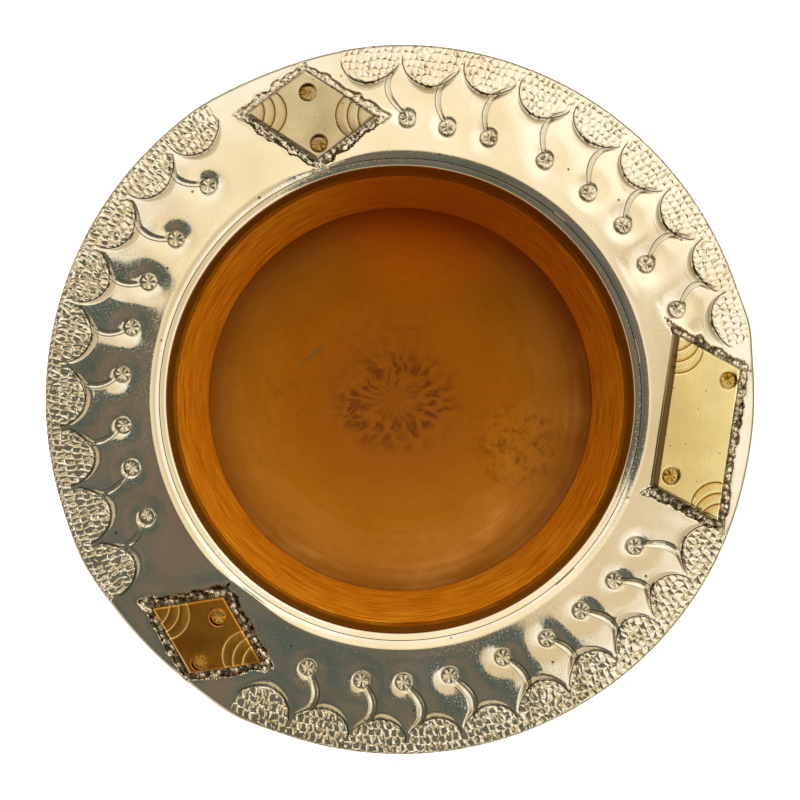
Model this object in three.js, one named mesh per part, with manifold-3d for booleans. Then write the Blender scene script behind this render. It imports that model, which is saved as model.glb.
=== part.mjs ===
// Mate cup: a gourd in a stitched leather cover, with a chased metal rim and three brass plates.
// Millimetres, Z up. The foot stands on Z = 0 and the mouth's axis is the Z axis.
import * as THREE from "three";
import { mergeVertices } from "three/addons/utils/BufferGeometryUtils.js";
import Module from "manifold-3d";

const wasm = await Module();
wasm.setup();

// Fits shared by the whole cup
const CLEARANCE = 0.3; // left open at every joint between two pieces
const SEGMENTS = 48; // facets round each turned piece
const BRIM_STEPS = 6; // facets across the brim
const LIP_STEPS = 3; // facets over each piece of the lip
const GROOVE_STEPS = 4; // facets along each side of a chased groove, and per half of a rosette
const QUARTER_TURN = Math.PI / 2;

// Rim metal
const CUP_HEIGHT = 108; // foot to the crest of the lip
const RIM_RADIUS = 50;
const MOUTH_RADIUS = 32.8; // inside of the sleeve
const SHEET = 0.8; // thickness of the white metal
const LIP_WIDTH = 2.1; // mouth to the crest of the lip
const LIP_DROP = 1.8; // crest down to where the sleeve's wall is upright
const FLANGE_DROP = 3.4; // crest down to the brim's outer edge
const FLANGE_CONE = 0.55; // share of that drop that is a plain cone, the rest curves
const SLEEVE_DEPTH = 17; // crest down to the sleeve's lower edge
const COLLAR_DEPTH = 16; // crest down to the collar's lower edge
const COLLAR_BEAD = 1.0; // how far the collar's rolled edge stands out
const EDGE_FLAT = 0.35; // how far the brim's edge is drawn in behind each plate
const EDGE_FLAT_SPREAD = 10; // degrees

// Chased ornament
const CHASE_DEPTH = 0.35;
const PUNCH_REACH = 5; // how far a punch reaches past the brim, above and below
const SCALLOP_RADIUS = 44.2; // from the axis to the foot of a scallop
const SCALLOP_RISE = 3.2; // foot of a scallop out to its horns
const SCALLOP_HALF_WIDTH = 3.65;
const SCALLOP_GROOVE = 0.8;
const STALK_LENGTH = 7;
const STALK_BOW = 1.6;
const STALK_WIDTH = 0.7;
const STALK_GAP = 0.4; // between the scallops' horns and the stalk
const ROSETTE_RADIUS = 1.25;
const ROSETTE_OVERLAP = 0.4; // how far a stalk's foot runs into its rosette
const SCALLOP_ROWS = [
  { firstAngle: 13.3, pitch: 10.25, count: 9 },
  { firstAngle: 127.8, pitch: 10.4, count: 9 },
  { firstAngle: 245.5, pitch: 9.8, count: 10 },
];

// Brass plates. Each has two diagonals, turned clockwise in degrees: the long one from the brim's run,
// the short one from outward. Its middle is put at an angle and offset outward from the brim's middle.
const PLATE_THICKNESS = 1;
const PLATE_MARK_DEPTH = 0.3;
const PLATE_ROSETTE_SHARE = 0.6; // of the way from the middle to a blunt corner
const PLATE_GOUGE_SHARES = [0.58, 0.71, 0.84]; // of the way from the middle to a sharp corner
const PLATE_GOUGE_SPREAD = 0.7; // share of the plate's width there that a gouge spans
const PLATE_GOUGE_BOW = 0.5;
const PLATE_GOUGE_WIDTH = 0.5;
const PLATE_TOP = { angle: 107.4, offset: -0.9, long: 18.1, longTurn: 18.8, short: 13, shortTurn: 8.9 };
const PLATE_RIGHT = { angle: -5.5, offset: -1, long: 27.1, longTurn: -19.2, short: 20.7, shortTurn: -57.7 };
const PLATE_LEFT = { angle: 230.5, offset: 0.1, long: 17.2, longTurn: -13.5, short: 12.2, shortTurn: -15.3 };
const PLATES = [PLATE_TOP, PLATE_RIGHT, PLATE_LEFT];

// Gourd
const BEDDING = 1.4; // least thickness of the resin on its cut edge
const GOURD_NECK_WALL = 3;
const GOURD_BOTTOM = 9.5; // height of its underside
const BELLY_RADIUS = 42;
const BELLY_HEIGHT = 46;
const NECK_BELOW_COLLAR = 4; // the belly has drawn in to the neck this far under the collar
const FLOOR_WALL = 7.5;
const BOWL_WALL = 7.5; // at the belly
const RIDGE_RADIUS = 30.5; // where the turned wall ends inside
const RIDGE_DEPTH = 42.7; // crest of the lip down to that ridge
const ROUNDNESS = 2.4; // exponent of the belly's curve
const BOWL_STEPS = 7; // facets from the floor to the belly
const SHOULDER_STEPS = 5; // facets from the belly to the neck

// Leather
const LEATHER = 1.8;
const COVER_HOLE_RADIUS = 10; // hole left under the gourd where the cover is gathered
const SEAM_GAP = 0.5;
const STITCH_COUNT = 13;
const STITCH_SPAN = 6;
const STITCH_MARGIN = 4.5; // from the last stitch to the foot and to the collar
const STITCH_DEPTH_SHARE = 0.6; // of the leather's thickness that each leg goes into it
const THREAD_RADIUS = 0.45;
const THREAD_STEPS = 9; // facets along a stitch
const THREAD_SIDES = 6;
const FOOT_HEIGHT = 14;
const FOOT_WALL = 2.2;
const FOOT_FLARE = 1.2;
const FOOT_EDGE = 0.8;
const FOOT_RIM = 9; // width of the ring's flat underside with its rounded edge
const SOLE_THICKNESS = 2.4;
const SOLE_LEDGE = 3; // how far the ring reaches over the sole

// Derived sizes
const CREST_RADIUS = MOUTH_RADIUS + LIP_WIDTH;
const SLEEVE_OUTER = MOUTH_RADIUS + SHEET;
const JOINT_RADIUS = SLEEVE_OUTER + CLEARANCE;
const NECK_RADIUS = JOINT_RADIUS + GOURD_NECK_WALL;
const SLEEVE_FOOT = CUP_HEIGHT - SLEEVE_DEPTH;
const COLLAR_FOOT = CUP_HEIGHT - COLLAR_DEPTH;
const COLLAR_INNER = NECK_RADIUS + CLEARANCE + LEATHER + CLEARANCE;
const COLLAR_OUTER = COLLAR_INNER + SHEET;
const NECK_HEIGHT = COLLAR_FOOT - NECK_BELOW_COLLAR;
const FLANGE_WIDTH = RIM_RADIUS - CREST_RADIUS;
const GOURD_TOP = rimUnderside(COLLAR_INNER) - CLEARANCE - BEDDING - CLEARANCE;
const STITCH_DEPTH = STITCH_DEPTH_SHARE * LEATHER;

// Colours are read from the photograph where it shows the piece.
const MATERIALS = {
  whiteMetal: { color: "#d9c9a6", roughness: 0.25, metalness: 1 },
  brass: { color: "#c99b3a", roughness: 0.3, metalness: 1 },
  gourd: { color: "#a8651c", roughness: 0.5, metalness: 0 },
  leather: { color: "#5a3420", roughness: 0.6, metalness: 0 },
  soleLeather: { color: "#7a4a2a", roughness: 0.7, metalness: 0 },
  thread: { color: "#d8c6a0", roughness: 0.8, metalness: 0 },
  resin: { color: "#3a332c", roughness: 0.4, metalness: 0 },
};

const cup = new THREE.Group();
cup.name = "mate_cup";

function addPiece(name, geometry, material) {
  const piece = new THREE.Mesh(geometry, new THREE.MeshStandardMaterial(MATERIALS[material]));
  piece.name = name;
  cup.add(piece);
}

// Turns a closed outline of [radius, height] pairs round the Z axis.
function turned(outline) {
  const points = outline.map(([radius, height]) => new THREE.Vector2(radius, height));
  return new THREE.LatheGeometry(points, SEGMENTS).rotateX(QUARTER_TURN);
}

function closed(outline) {
  return [...outline, outline[0]];
}

function steps(from, to, count) {
  return Array.from({ length: count + 1 }, (_, i) => from + ((to - from) * i) / count);
}

function toSolid(geometry) {
  const bare = new THREE.BufferGeometry().setAttribute("position", geometry.getAttribute("position"));
  if (geometry.index) bare.setIndex(geometry.index);
  const merged = mergeVertices(bare, 1e-3);
  return new wasm.Manifold(
    new wasm.Mesh({
      numProp: 3,
      vertProperties: merged.getAttribute("position").array,
      triVerts: new Uint32Array(merged.index.array),
    }),
  );
}

function fromSolid(solid) {
  const mesh = solid.getMesh();
  const geometry = new THREE.BufferGeometry()
    .setAttribute("position", new THREE.BufferAttribute(mesh.vertProperties, 3))
    .setIndex(new THREE.BufferAttribute(mesh.triVerts, 1))
    .toNonIndexed();
  geometry.computeVertexNormals();
  return geometry;
}

// Height of the rim's upper surface at a radius: the lip inside the crest, the brim outside it.
function rimTop(radius) {
  if (radius < CREST_RADIUS) {
    const inward = Math.min(1, (CREST_RADIUS - radius) / LIP_WIDTH);
    return CUP_HEIGHT - LIP_DROP * (1 - Math.sqrt(1 - inward * inward));
  }
  const outward = (radius - CREST_RADIUS) / FLANGE_WIDTH;
  return CUP_HEIGHT - FLANGE_DROP * (FLANGE_CONE * outward + (1 - FLANGE_CONE) * outward * outward);
}

function rimUnderside(radius) {
  return rimTop(radius) - SHEET;
}

// A layer that follows the brim's surface between two heights above it.
function brimLayer(low, high) {
  const radii = steps(CREST_RADIUS - LIP_WIDTH, RIM_RADIUS + LIP_WIDTH, BRIM_STEPS + 2);
  const lower = radii.map((radius) => [radius, rimTop(radius) + low]);
  const upper = radii.map((radius) => [radius, rimTop(radius) + high]);
  return toSolid(turned(closed([...lower, ...upper.reverse()])));
}

// An upright prism through the brim. In its shape, X runs clockwise round the brim and Y points outward.
function brimPrism(shape, degrees, radius) {
  const low = rimTop(RIM_RADIUS) - PUNCH_REACH;
  const depth = CUP_HEIGHT + PUNCH_REACH - low;
  const prism = new THREE.ExtrudeGeometry(shape, { depth, bevelEnabled: false, curveSegments: GROOVE_STEPS });
  const turn = THREE.MathUtils.degToRad(degrees) - QUARTER_TURN;
  return toSolid(prism.translate(0, radius, low).rotateZ(turn));
}

function joined(solids) {
  return solids.reduce((left, right) => left.add(right));
}

// A sliver between two bows that share their ends, such as one groove of a chasing tool.
function sliver(start, end, bow, width) {
  const middle = start.clone().add(end).multiplyScalar(0.5);
  const side = new THREE.Vector2(start.y - end.y, end.x - start.x).normalize();
  const near = middle.clone().addScaledVector(side, 2 * bow - width);
  const far = middle.clone().addScaledVector(side, 2 * bow + width);
  const shape = new THREE.Shape().moveTo(start.x, start.y);
  shape.quadraticCurveTo(near.x, near.y, end.x, end.y);
  shape.quadraticCurveTo(far.x, far.y, start.x, start.y);
  return shape;
}

function rosetteShape(x, y) {
  return new THREE.Shape().absarc(x, y, ROSETTE_RADIUS, 0, 2 * Math.PI);
}

function scallopPunch(degrees) {
  const left = new THREE.Vector2(-SCALLOP_HALF_WIDTH, SCALLOP_RISE);
  const right = new THREE.Vector2(SCALLOP_HALF_WIDTH, SCALLOP_RISE);
  const bow = -SCALLOP_RISE + SCALLOP_GROOVE / 2;
  return brimPrism(sliver(left, right, bow, SCALLOP_GROOVE), degrees, SCALLOP_RADIUS);
}

// A stalk that starts between two scallops and bows counter-clockwise, with the rosette at its foot.
function stalkPunches(degrees) {
  const hornRadius = SCALLOP_RADIUS + SCALLOP_RISE - STALK_GAP;
  const start = new THREE.Vector2(0, 0);
  const end = new THREE.Vector2(0, -STALK_LENGTH);
  const stalk = sliver(start, end, -STALK_BOW, STALK_WIDTH);
  const rosette = rosetteShape(0, ROSETTE_OVERLAP - STALK_LENGTH - ROSETTE_RADIUS);
  return [brimPrism(stalk, degrees, hornRadius), brimPrism(rosette, degrees, hornRadius)];
}

function ornamentPunches() {
  return SCALLOP_ROWS.flatMap(({ firstAngle, pitch, count }) => {
    const scallops = Array.from({ length: count }, (_, i) => scallopPunch(firstAngle + i * pitch));
    const stalks = Array.from({ length: count - 1 }, (_, i) => stalkPunches(firstAngle + (i + 0.5) * pitch));
    return [...scallops, ...stalks.flat()];
  });
}

// How far the brim's outline stays inside its circle at an angle: it is drawn in behind each plate.
function edgeShift(degrees) {
  return PLATES.reduce((shift, plate) => {
    const away = ((degrees - plate.angle + 540) % 360) - 180;
    return shift - EDGE_FLAT * Math.exp(-((away / EDGE_FLAT_SPREAD) ** 2));
  }, 0);
}

function shapeBrimEdge(geometry) {
  const position = geometry.getAttribute("position");
  for (let i = 0; i < position.count; i++) {
    const x = position.getX(i);
    const y = position.getY(i);
    const radius = Math.hypot(x, y);
    const outward = Math.max(0, (radius - CREST_RADIUS) / FLANGE_WIDTH);
    const shift = edgeShift(THREE.MathUtils.radToDeg(Math.atan2(y, x))) * outward ** 3;
    position.setXY(i, x * (1 + shift / radius), y * (1 + shift / radius));
  }
  return geometry;
}

function rimFlange() {
  const lip = steps(JOINT_RADIUS, CREST_RADIUS, LIP_STEPS);
  const brim = steps(CREST_RADIUS, RIM_RADIUS - SHEET / 2, BRIM_STEPS).slice(1);
  const radii = [...lip, ...brim];
  const upper = radii.map((radius) => [radius, rimTop(radius)]);
  const lower = radii.map((radius) => [radius, rimUnderside(radius)]);
  const edge = [RIM_RADIUS, rimTop(RIM_RADIUS) - SHEET / 2];
  const sheet = shapeBrimEdge(turned(closed([...lower, edge, ...upper.reverse()])));
  const chasing = joined(ornamentPunches()).intersect(brimLayer(-CHASE_DEPTH, PUNCH_REACH));
  return fromSolid(toSolid(sheet).subtract(chasing));
}

function mouthSleeve() {
  const lip = steps(MOUTH_RADIUS, SLEEVE_OUTER, LIP_STEPS).map((radius) => [radius, rimTop(radius)]);
  return turned(closed([[SLEEVE_OUTER, SLEEVE_FOOT], ...lip.reverse(), [MOUTH_RADIUS, SLEEVE_FOOT]]));
}

function rimCollar() {
  const under = (radius) => rimUnderside(radius) - CLEARANCE;
  const beadOuter = COLLAR_OUTER + COLLAR_BEAD;
  return turned(
    closed([
      [COLLAR_INNER, COLLAR_FOOT],
      [COLLAR_OUTER, COLLAR_FOOT],
      [beadOuter - COLLAR_BEAD / 4, COLLAR_FOOT + COLLAR_BEAD / 4],
      [beadOuter, COLLAR_FOOT + COLLAR_BEAD],
      [beadOuter - COLLAR_BEAD / 4, COLLAR_FOOT + 1.75 * COLLAR_BEAD],
      [COLLAR_OUTER, COLLAR_FOOT + 2 * COLLAR_BEAD],
      [COLLAR_OUTER, under(COLLAR_OUTER)],
      [COLLAR_INNER, under(COLLAR_INNER)],
    ]),
  );
}

function beddingResin() {
  const radii = steps(JOINT_RADIUS, COLLAR_INNER - CLEARANCE, LIP_STEPS);
  const upper = radii.map((radius) => [radius, rimUnderside(radius) - CLEARANCE]);
  const lower = [
    [radii[0], GOURD_TOP + CLEARANCE],
    [radii.at(-1), GOURD_TOP + CLEARANCE],
  ];
  return turned(closed([...lower, ...upper.reverse()]));
}

// A quarter of a rounded bowl, from its floor on the axis out to its widest point.
function bowlOutline(radius, floor, height) {
  const power = 2 / ROUNDNESS;
  return steps(0, QUARTER_TURN, BOWL_STEPS).map((turn) => [
    radius * Math.sin(turn) ** power,
    height - (height - floor) * Math.max(0, Math.cos(turn)) ** power,
  ]);
}

// An S-shaped side between two radii, upright at both ends.
function shoulderOutline(fromRadius, fromHeight, toRadius, toHeight) {
  return steps(0, 1, SHOULDER_STEPS).map((part) => [
    toRadius + ((fromRadius - toRadius) * (1 + Math.cos(Math.PI * part))) / 2,
    fromHeight + (toHeight - fromHeight) * part,
  ]);
}

function gourdOutside() {
  const belly = bowlOutline(BELLY_RADIUS, GOURD_BOTTOM, BELLY_HEIGHT);
  const shoulder = shoulderOutline(BELLY_RADIUS, BELLY_HEIGHT, NECK_RADIUS, NECK_HEIGHT).slice(1);
  return [...belly, ...shoulder, [NECK_RADIUS, GOURD_TOP]];
}

function gourdInside() {
  const ridgeHeight = CUP_HEIGHT - RIDGE_DEPTH;
  const bowlRadius = BELLY_RADIUS - BOWL_WALL;
  const bowl = bowlOutline(bowlRadius, GOURD_BOTTOM + FLOOR_WALL, BELLY_HEIGHT);
  const shoulder = shoulderOutline(bowlRadius, BELLY_HEIGHT, RIDGE_RADIUS, ridgeHeight).slice(1);
  const ledge = SLEEVE_FOOT - CLEARANCE;
  return [...bowl, ...shoulder, [MOUTH_RADIUS, ledge], [JOINT_RADIUS, ledge], [JOINT_RADIUS, GOURD_TOP]];
}

function gourdVessel() {
  return turned([...gourdOutside(), ...gourdInside().reverse()]);
}

// The gourd's outside moved out by a distance, without the part near the axis.
function skin(distance, innerRadius) {
  const outline = gourdOutside();
  const moved = outline.map(([radius, height], i) => {
    const [r0, z0] = outline[Math.max(0, i - 1)];
    const [r1, z1] = outline[Math.min(outline.length - 1, i + 1)];
    const run = Math.hypot(r1 - r0, z1 - z0);
    return [radius + ((z1 - z0) / run) * distance, height - ((r1 - r0) / run) * distance];
  });
  const first = moved.findIndex(([radius]) => radius > innerRadius);
  const [r0, z0] = moved[first - 1];
  const [r1, z1] = moved[first];
  const start = [innerRadius, z0 + ((z1 - z0) * (innerRadius - r0)) / (r1 - r0)];
  return [start, ...moved.slice(first)];
}

function radiusAtHeight(outline, height) {
  const i = outline.findIndex(([, z]) => z > height);
  const [r0, z0] = outline[i - 1];
  const [r1, z1] = outline[i];
  return r0 + ((r1 - r0) * (height - z0)) / (z1 - z0);
}

// Frames on the back of the cover, one per stitch: X across the seam, Y up along it and Z out of the leather.
function stitchFrames() {
  const outside = skin(CLEARANCE + LEATHER, COVER_HOLE_RADIUS);
  const lowest = FOOT_HEIGHT + STITCH_MARGIN;
  const highest = COLLAR_FOOT - STITCH_MARGIN;
  return steps(lowest, highest, STITCH_COUNT - 1).map((height) => {
    const radius = radiusAtHeight(outside, height);
    const above = radiusAtHeight(outside, height + THREAD_RADIUS);
    const below = radiusAtHeight(outside, height - THREAD_RADIUS);
    const up = new THREE.Vector3(0, above - below, 2 * THREAD_RADIUS).normalize();
    const across = new THREE.Vector3(-1, 0, 0);
    const out = across.clone().cross(up);
    return new THREE.Matrix4().makeBasis(across, up, out).setPosition(0, radius, height);
  });
}

function stitch() {
  const half = STITCH_SPAN / 2;
  const rise = THREAD_RADIUS + CLEARANCE;
  const bend = half - THREAD_RADIUS;
  const path = new THREE.CatmullRomCurve3(
    [
      [-half, -STITCH_DEPTH],
      [-half, 0],
      [-bend, rise],
      [0, rise + THREAD_RADIUS / 2],
      [bend, rise],
      [half, 0],
      [half, -STITCH_DEPTH],
    ].map(([x, z]) => new THREE.Vector3(x, 0, z)),
  );
  const section = new THREE.Shape().absarc(0, 0, THREAD_RADIUS, 0, 2 * Math.PI);
  return new THREE.ExtrudeGeometry(section, {
    steps: THREAD_STEPS,
    curveSegments: THREAD_SIDES / 2,
    extrudePath: path,
  });
}

function stitchHoles(frame) {
  const reach = LEATHER + 2 * CLEARANCE;
  const radius = THREAD_RADIUS + CLEARANCE;
  return [-1, 1].map((side) =>
    new THREE.CylinderGeometry(radius, radius, 2 * reach, THREAD_SIDES)
      .rotateX(QUARTER_TURN)
      .translate((side * STITCH_SPAN) / 2, 0, 0)
      .applyMatrix4(frame),
  );
}

function leatherCover() {
  const inside = skin(CLEARANCE, COVER_HOLE_RADIUS);
  const outside = skin(CLEARANCE + LEATHER, COVER_HOLE_RADIUS);
  const seam = new THREE.BoxGeometry(SEAM_GAP, RIM_RADIUS, CUP_HEIGHT);
  seam.translate(0, RIM_RADIUS / 2, CUP_HEIGHT / 2);
  const cuts = joined([seam, ...stitchFrames().flatMap(stitchHoles)].map(toSolid));
  return fromSolid(toSolid(turned(closed([...outside, ...inside.reverse()]))).subtract(cuts));
}

function footOuterRadius() {
  const seat = skin(CLEARANCE + LEATHER + CLEARANCE, COVER_HOLE_RADIUS);
  return radiusAtHeight(seat, FOOT_HEIGHT) + FOOT_WALL + FOOT_FLARE;
}

function footRing() {
  const footOuter = footOuterRadius();
  const topOuter = footOuter - FOOT_FLARE;
  const opening = footOuter - FOOT_RIM;
  const ledgeRadius = opening - SOLE_LEDGE;
  const ledgeHeight = SOLE_THICKNESS + CLEARANCE;
  const seat = skin(CLEARANCE + LEATHER + CLEARANCE, ledgeRadius);
  const lining = seat.filter(([, height]) => height < FOOT_HEIGHT).reverse();
  return turned(
    closed([
      [opening, 0],
      [footOuter - FOOT_EDGE, 0],
      [footOuter, FOOT_EDGE],
      [(footOuter + topOuter) / 2, FOOT_HEIGHT / 2],
      [topOuter, FOOT_HEIGHT - FOOT_EDGE],
      [topOuter - FOOT_EDGE, FOOT_HEIGHT],
      [topOuter - FOOT_WALL, FOOT_HEIGHT],
      ...lining,
      [ledgeRadius, ledgeHeight],
      [opening, ledgeHeight],
    ]),
  );
}

function footSole() {
  const radius = footOuterRadius() - FOOT_RIM - CLEARANCE;
  return turned([
    [0, 0],
    [radius, 0],
    [radius, SOLE_THICKNESS],
    [0, SOLE_THICKNESS],
  ]);
}

function turnedVector(length, degrees) {
  const angle = THREE.MathUtils.degToRad(-degrees);
  return new THREE.Vector2(length * Math.cos(angle), length * Math.sin(angle));
}

// Three gouges across a sharp corner, each bowed towards the plate's middle.
function cornerGouges(corner, width) {
  return PLATE_GOUGE_SHARES.map((share) => {
    const middle = corner.clone().multiplyScalar(share);
    const across = width.clone().multiplyScalar(PLATE_GOUGE_SPREAD * (1 - share));
    const side = Math.sign(corner.cross(width));
    const bow = -side * PLATE_GOUGE_BOW;
    return sliver(middle.clone().add(across), middle.clone().sub(across), bow, PLATE_GOUGE_WIDTH);
  });
}

// A lozenge on the brim, with a rosette near each blunt corner and gouges at each sharp one.
function brassPlate({ angle, offset, long, longTurn, short, shortTurn }) {
  const radius = (CREST_RADIUS + RIM_RADIUS) / 2 + offset;
  const sharp = turnedVector(long / 2, longTurn);
  const blunt = turnedVector(short / 2, shortTurn - 90);
  const corners = [sharp, blunt, sharp.clone().negate(), blunt.clone().negate()];
  const marks = [1, -1].flatMap((side) => {
    const rosette = blunt.clone().multiplyScalar(side * PLATE_ROSETTE_SHARE);
    return [rosetteShape(rosette.x, rosette.y), ...cornerGouges(sharp.clone().multiplyScalar(side), blunt)];
  });
  const top = CLEARANCE + PLATE_THICKNESS;
  const blank = brimPrism(new THREE.Shape(corners), angle, radius).intersect(brimLayer(CLEARANCE, top));
  const punches = joined(marks.map((shape) => brimPrism(shape, angle, radius)));
  return fromSolid(blank.subtract(punches.intersect(brimLayer(top - PLATE_MARK_DEPTH, top + PUNCH_REACH))));
}

addPiece("gourd_vessel", gourdVessel(), "gourd");
addPiece("leather_cover", leatherCover(), "leather");
stitchFrames().forEach((frame, i) => {
  addPiece(`seam_stitch_${String(i + 1).padStart(2, "0")}`, stitch().applyMatrix4(frame), "thread");
});
addPiece("leather_foot_ring", footRing(), "leather");
addPiece("foot_sole", footSole(), "soleLeather");
addPiece("bedding_resin", beddingResin(), "resin");
addPiece("rim_collar", rimCollar(), "whiteMetal");
addPiece("mouth_sleeve", mouthSleeve(), "whiteMetal");
addPiece("rim_flange", rimFlange(), "whiteMetal");
addPiece("plate_top", brassPlate(PLATE_TOP), "brass");
addPiece("plate_right", brassPlate(PLATE_RIGHT), "brass");
addPiece("plate_left", brassPlate(PLATE_LEFT), "brass");

export default cup;
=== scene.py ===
"""Looks of a mate cup: a gourd in stitched leather, with a chased nickel silver rim and brass plates.

Sizes are millimetres and are turned to metres where a mesh is made. The foot stands on Z = 0, the
mouth's axis is the Z axis, and the camera looks straight down with +Y up in the picture.
"""
import math

import bpy
import numpy as np
from mathutils import Matrix, Vector


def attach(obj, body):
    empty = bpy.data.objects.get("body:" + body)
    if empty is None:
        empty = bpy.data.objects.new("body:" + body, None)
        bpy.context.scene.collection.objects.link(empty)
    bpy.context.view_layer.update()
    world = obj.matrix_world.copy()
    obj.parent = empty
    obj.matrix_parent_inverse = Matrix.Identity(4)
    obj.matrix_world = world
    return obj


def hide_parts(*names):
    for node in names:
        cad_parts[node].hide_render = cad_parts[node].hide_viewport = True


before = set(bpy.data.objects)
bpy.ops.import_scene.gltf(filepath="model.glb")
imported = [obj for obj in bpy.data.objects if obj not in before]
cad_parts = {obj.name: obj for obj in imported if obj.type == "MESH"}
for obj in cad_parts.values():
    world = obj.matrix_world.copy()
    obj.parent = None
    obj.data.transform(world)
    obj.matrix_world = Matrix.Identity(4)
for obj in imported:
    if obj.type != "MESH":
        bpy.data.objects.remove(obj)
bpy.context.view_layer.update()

MM = 0.001
MERGE = 1e-6  # metres; vertices closer than this become one

# Fits and turned shapes
CLEARANCE = 0.3
CUP_HEIGHT = 108
RIM_RADIUS = 50
MOUTH_RADIUS = 32.8
SHEET = 0.8
LIP_WIDTH = 2.1
LIP_DROP = 1.8
FLANGE_DROP = 3.4
FLANGE_CONE = 0.55
SLEEVE_DEPTH = 17
SLEEVE_ROWS = (97, 103.5)  # heights of two plain rows of its wall
# Bead at the sleeve's top: outward from the mouth, and down from the top.
SLEEVE_BEAD = [(-0.2, 1.1), (-0.3, 0.75), (-0.28, 0.5), (-0.2, 0.32), (-0.05, 0.2), (0.2, 0.11), (0.5, 0.04)]
COLLAR_DEPTH = 16
COLLAR_BEAD = 1.0
COLLAR_BEAD_STEPS = 12
# Thin ring above the collar's bead: outward from its wall, and up from its foot.
COLLAR_RING = [(0.12, 2.35), (0.32, 2.75), (0.12, 3.15), (0, 3.3)]
GOURD_NECK_WALL = 3
GOURD_BOTTOM = 9.5
BEDDING = 1.4
BELLY_RADIUS = 42
BELLY_HEIGHT = 46
NECK_BELOW_COLLAR = 4
FLOOR_WALL = 7.5
BOWL_WALL = 7.5
RIDGE_RADIUS = 30.5
RIDGE_DEPTH = 42.7
ROUNDNESS = 2.4
BOWL_STEPS = 26
SHOULDER_STEPS = 24
TURN_STEPS = 192  # facets round a plain turned piece
GOURD_STEPS = 240
FLOOR_WAVE = 0.12  # unevenness of the gourd's floor
FLOOR_WAVE_REACH = (18, 26)  # radii where it fades out

# Leather and thread
LEATHER = 1.8
COVER_HOLE_RADIUS = 10
COVER_STEPS = 300
SEAM_GAP = 0.5
SEAM_LIP = (0.3, 1.1)  # how far its edges curl out, and over what width
STITCH_PULL = 0.4  # how far a stitch's ends draw the leather in
STITCH_PRESS = 0.16  # and its run
STITCH_REACH = 0.9
COVER_WAVE = 0.09
# Heights between which the leather becomes free: above the foot, and below the collar.
COVER_FREE_FOOT = (14, 20)
COVER_FREE_NECK = (86, 91)
STITCH_COUNT = 13
STITCH_SPAN = 6
STITCH_MARGIN = 4.5
STITCH_DEPTH = 0.6 * LEATHER
THREAD_RADIUS = 0.45
THREAD_LAY = 2.2  # length of one twist of the two strands
THREAD_SIDES = 14
THREAD_STEPS = 72
FOOT_HEIGHT = 14
FOOT_WALL = 2.2
FOOT_FLARE = 1.2
FOOT_EDGE = 0.8
FOOT_RIM = 9
FOOT_HOLLOW = 0.35  # how far its side draws in between its edges
FOOT_ROWS = 12
FOOT_CREASE = 0.28
FOOT_CREASE_ROWS = (1, 10)
SOLE_THICKNESS = 2.4
SOLE_LEDGE = 3

# Derived sizes
CREST_RADIUS = MOUTH_RADIUS + LIP_WIDTH
JOINT_LINE = 0.03  # the joint as the eye sees it, drawn shut by the burnisher
SLEEVE_OUTER = MOUTH_RADIUS + SHEET
JOINT_RADIUS = SLEEVE_OUTER + CLEARANCE
NECK_RADIUS = JOINT_RADIUS + GOURD_NECK_WALL
SLEEVE_FOOT = CUP_HEIGHT - SLEEVE_DEPTH
COLLAR_FOOT = CUP_HEIGHT - COLLAR_DEPTH
COLLAR_INNER = NECK_RADIUS + CLEARANCE + LEATHER + CLEARANCE
COLLAR_OUTER = COLLAR_INNER + SHEET
NECK_HEIGHT = COLLAR_FOOT - NECK_BELOW_COLLAR
FLANGE_WIDTH = RIM_RADIUS - CREST_RADIUS
RIDGE_HEIGHT = CUP_HEIGHT - RIDGE_DEPTH
BOWL_RADIUS = BELLY_RADIUS - BOWL_WALL
FLOOR_HEIGHT = GOURD_BOTTOM + FLOOR_WALL

# Chased ornament, read from the photograph: each scallop is its angle in degrees and the radius of
# its foot, each rosette its angle and the radius of its centre. A stalk runs from the horn between
# two scallops to the rosette of the same number; its width is the row's. The rosettes of a row are
# struck deeper on their outer side (1) or on their inner one (-1), where their ring is also painted
# darker as shade. Blow is how hard the matting is struck and mark the width and length of one of its
# marks. Tarnish is the brown film in the cuts, with painted shade in them, most in the top row.
ORNAMENT_ROWS = [
    {
        "stalk": 0.75, "deep_shaded_side": -1, "blow": 0.6, "mark": (0.88, 1.15), "tarnish_and_shade": 0.22,
        "scallops": [(13.5, 44.9), (23.5, 45.0), (33, 44.3), (43.5, 44.2), (54, 44.6), (64.5, 43.8),
                     (74.5, 44.3), (84.5, 43.9), (95.5, 44.5)],
        "rosettes": [(18, 40.6), (28.8, 39.2), (38, 39.5), (47.7, 39.0), (58.8, 39.0), (71.3, 38.5),
                     (80.2, 38.5), (88.6, 39.2)],
    },
    {
        "stalk": 0.8, "deep_shaded_side": 1, "blow": 1.0, "mark": (0.82, 1.35), "tarnish_and_shade": 0.05,
        "scallops": [(127.5, 44.2), (138, 44.2), (148.5, 44.1), (158.5, 43.9), (168.5, 44.1),
                     (179.5, 44.1), (190, 43.5), (200, 43.4), (210.5, 43.5)],
        "rosettes": [(132, 40.1), (144.5, 38.5), (155, 38.8), (165, 38.8), (174.8, 39.0),
                     (185.3, 38.8), (194.2, 38.6), (204.8, 38.9)],
    },
    {
        "stalk": 1.15, "deep_shaded_side": -1, "blow": 1.1, "mark": (1.0, 1.2), "tarnish_and_shade": 0.0,
        "scallops": [(245.5, 44.2), (256.5, 44.6), (266.5, 44.9), (276, 44.9), (285.5, 44.6),
                     (295.5, 43.9), (305, 43.8), (315, 44.1), (323.5, 43.9), (333.5, 44.3)],
        "rosettes": [(251, 39.7), (262.2, 39.6), (270.7, 39.5), (280.2, 39.2), (291.7, 38.8),
                     (301.5, 39.2), (310.5, 38.8), (319.7, 39.2), (327.9, 38.6)],
    },
]
HORN_RADIUS = 47.4  # where two scallops meet
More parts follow.
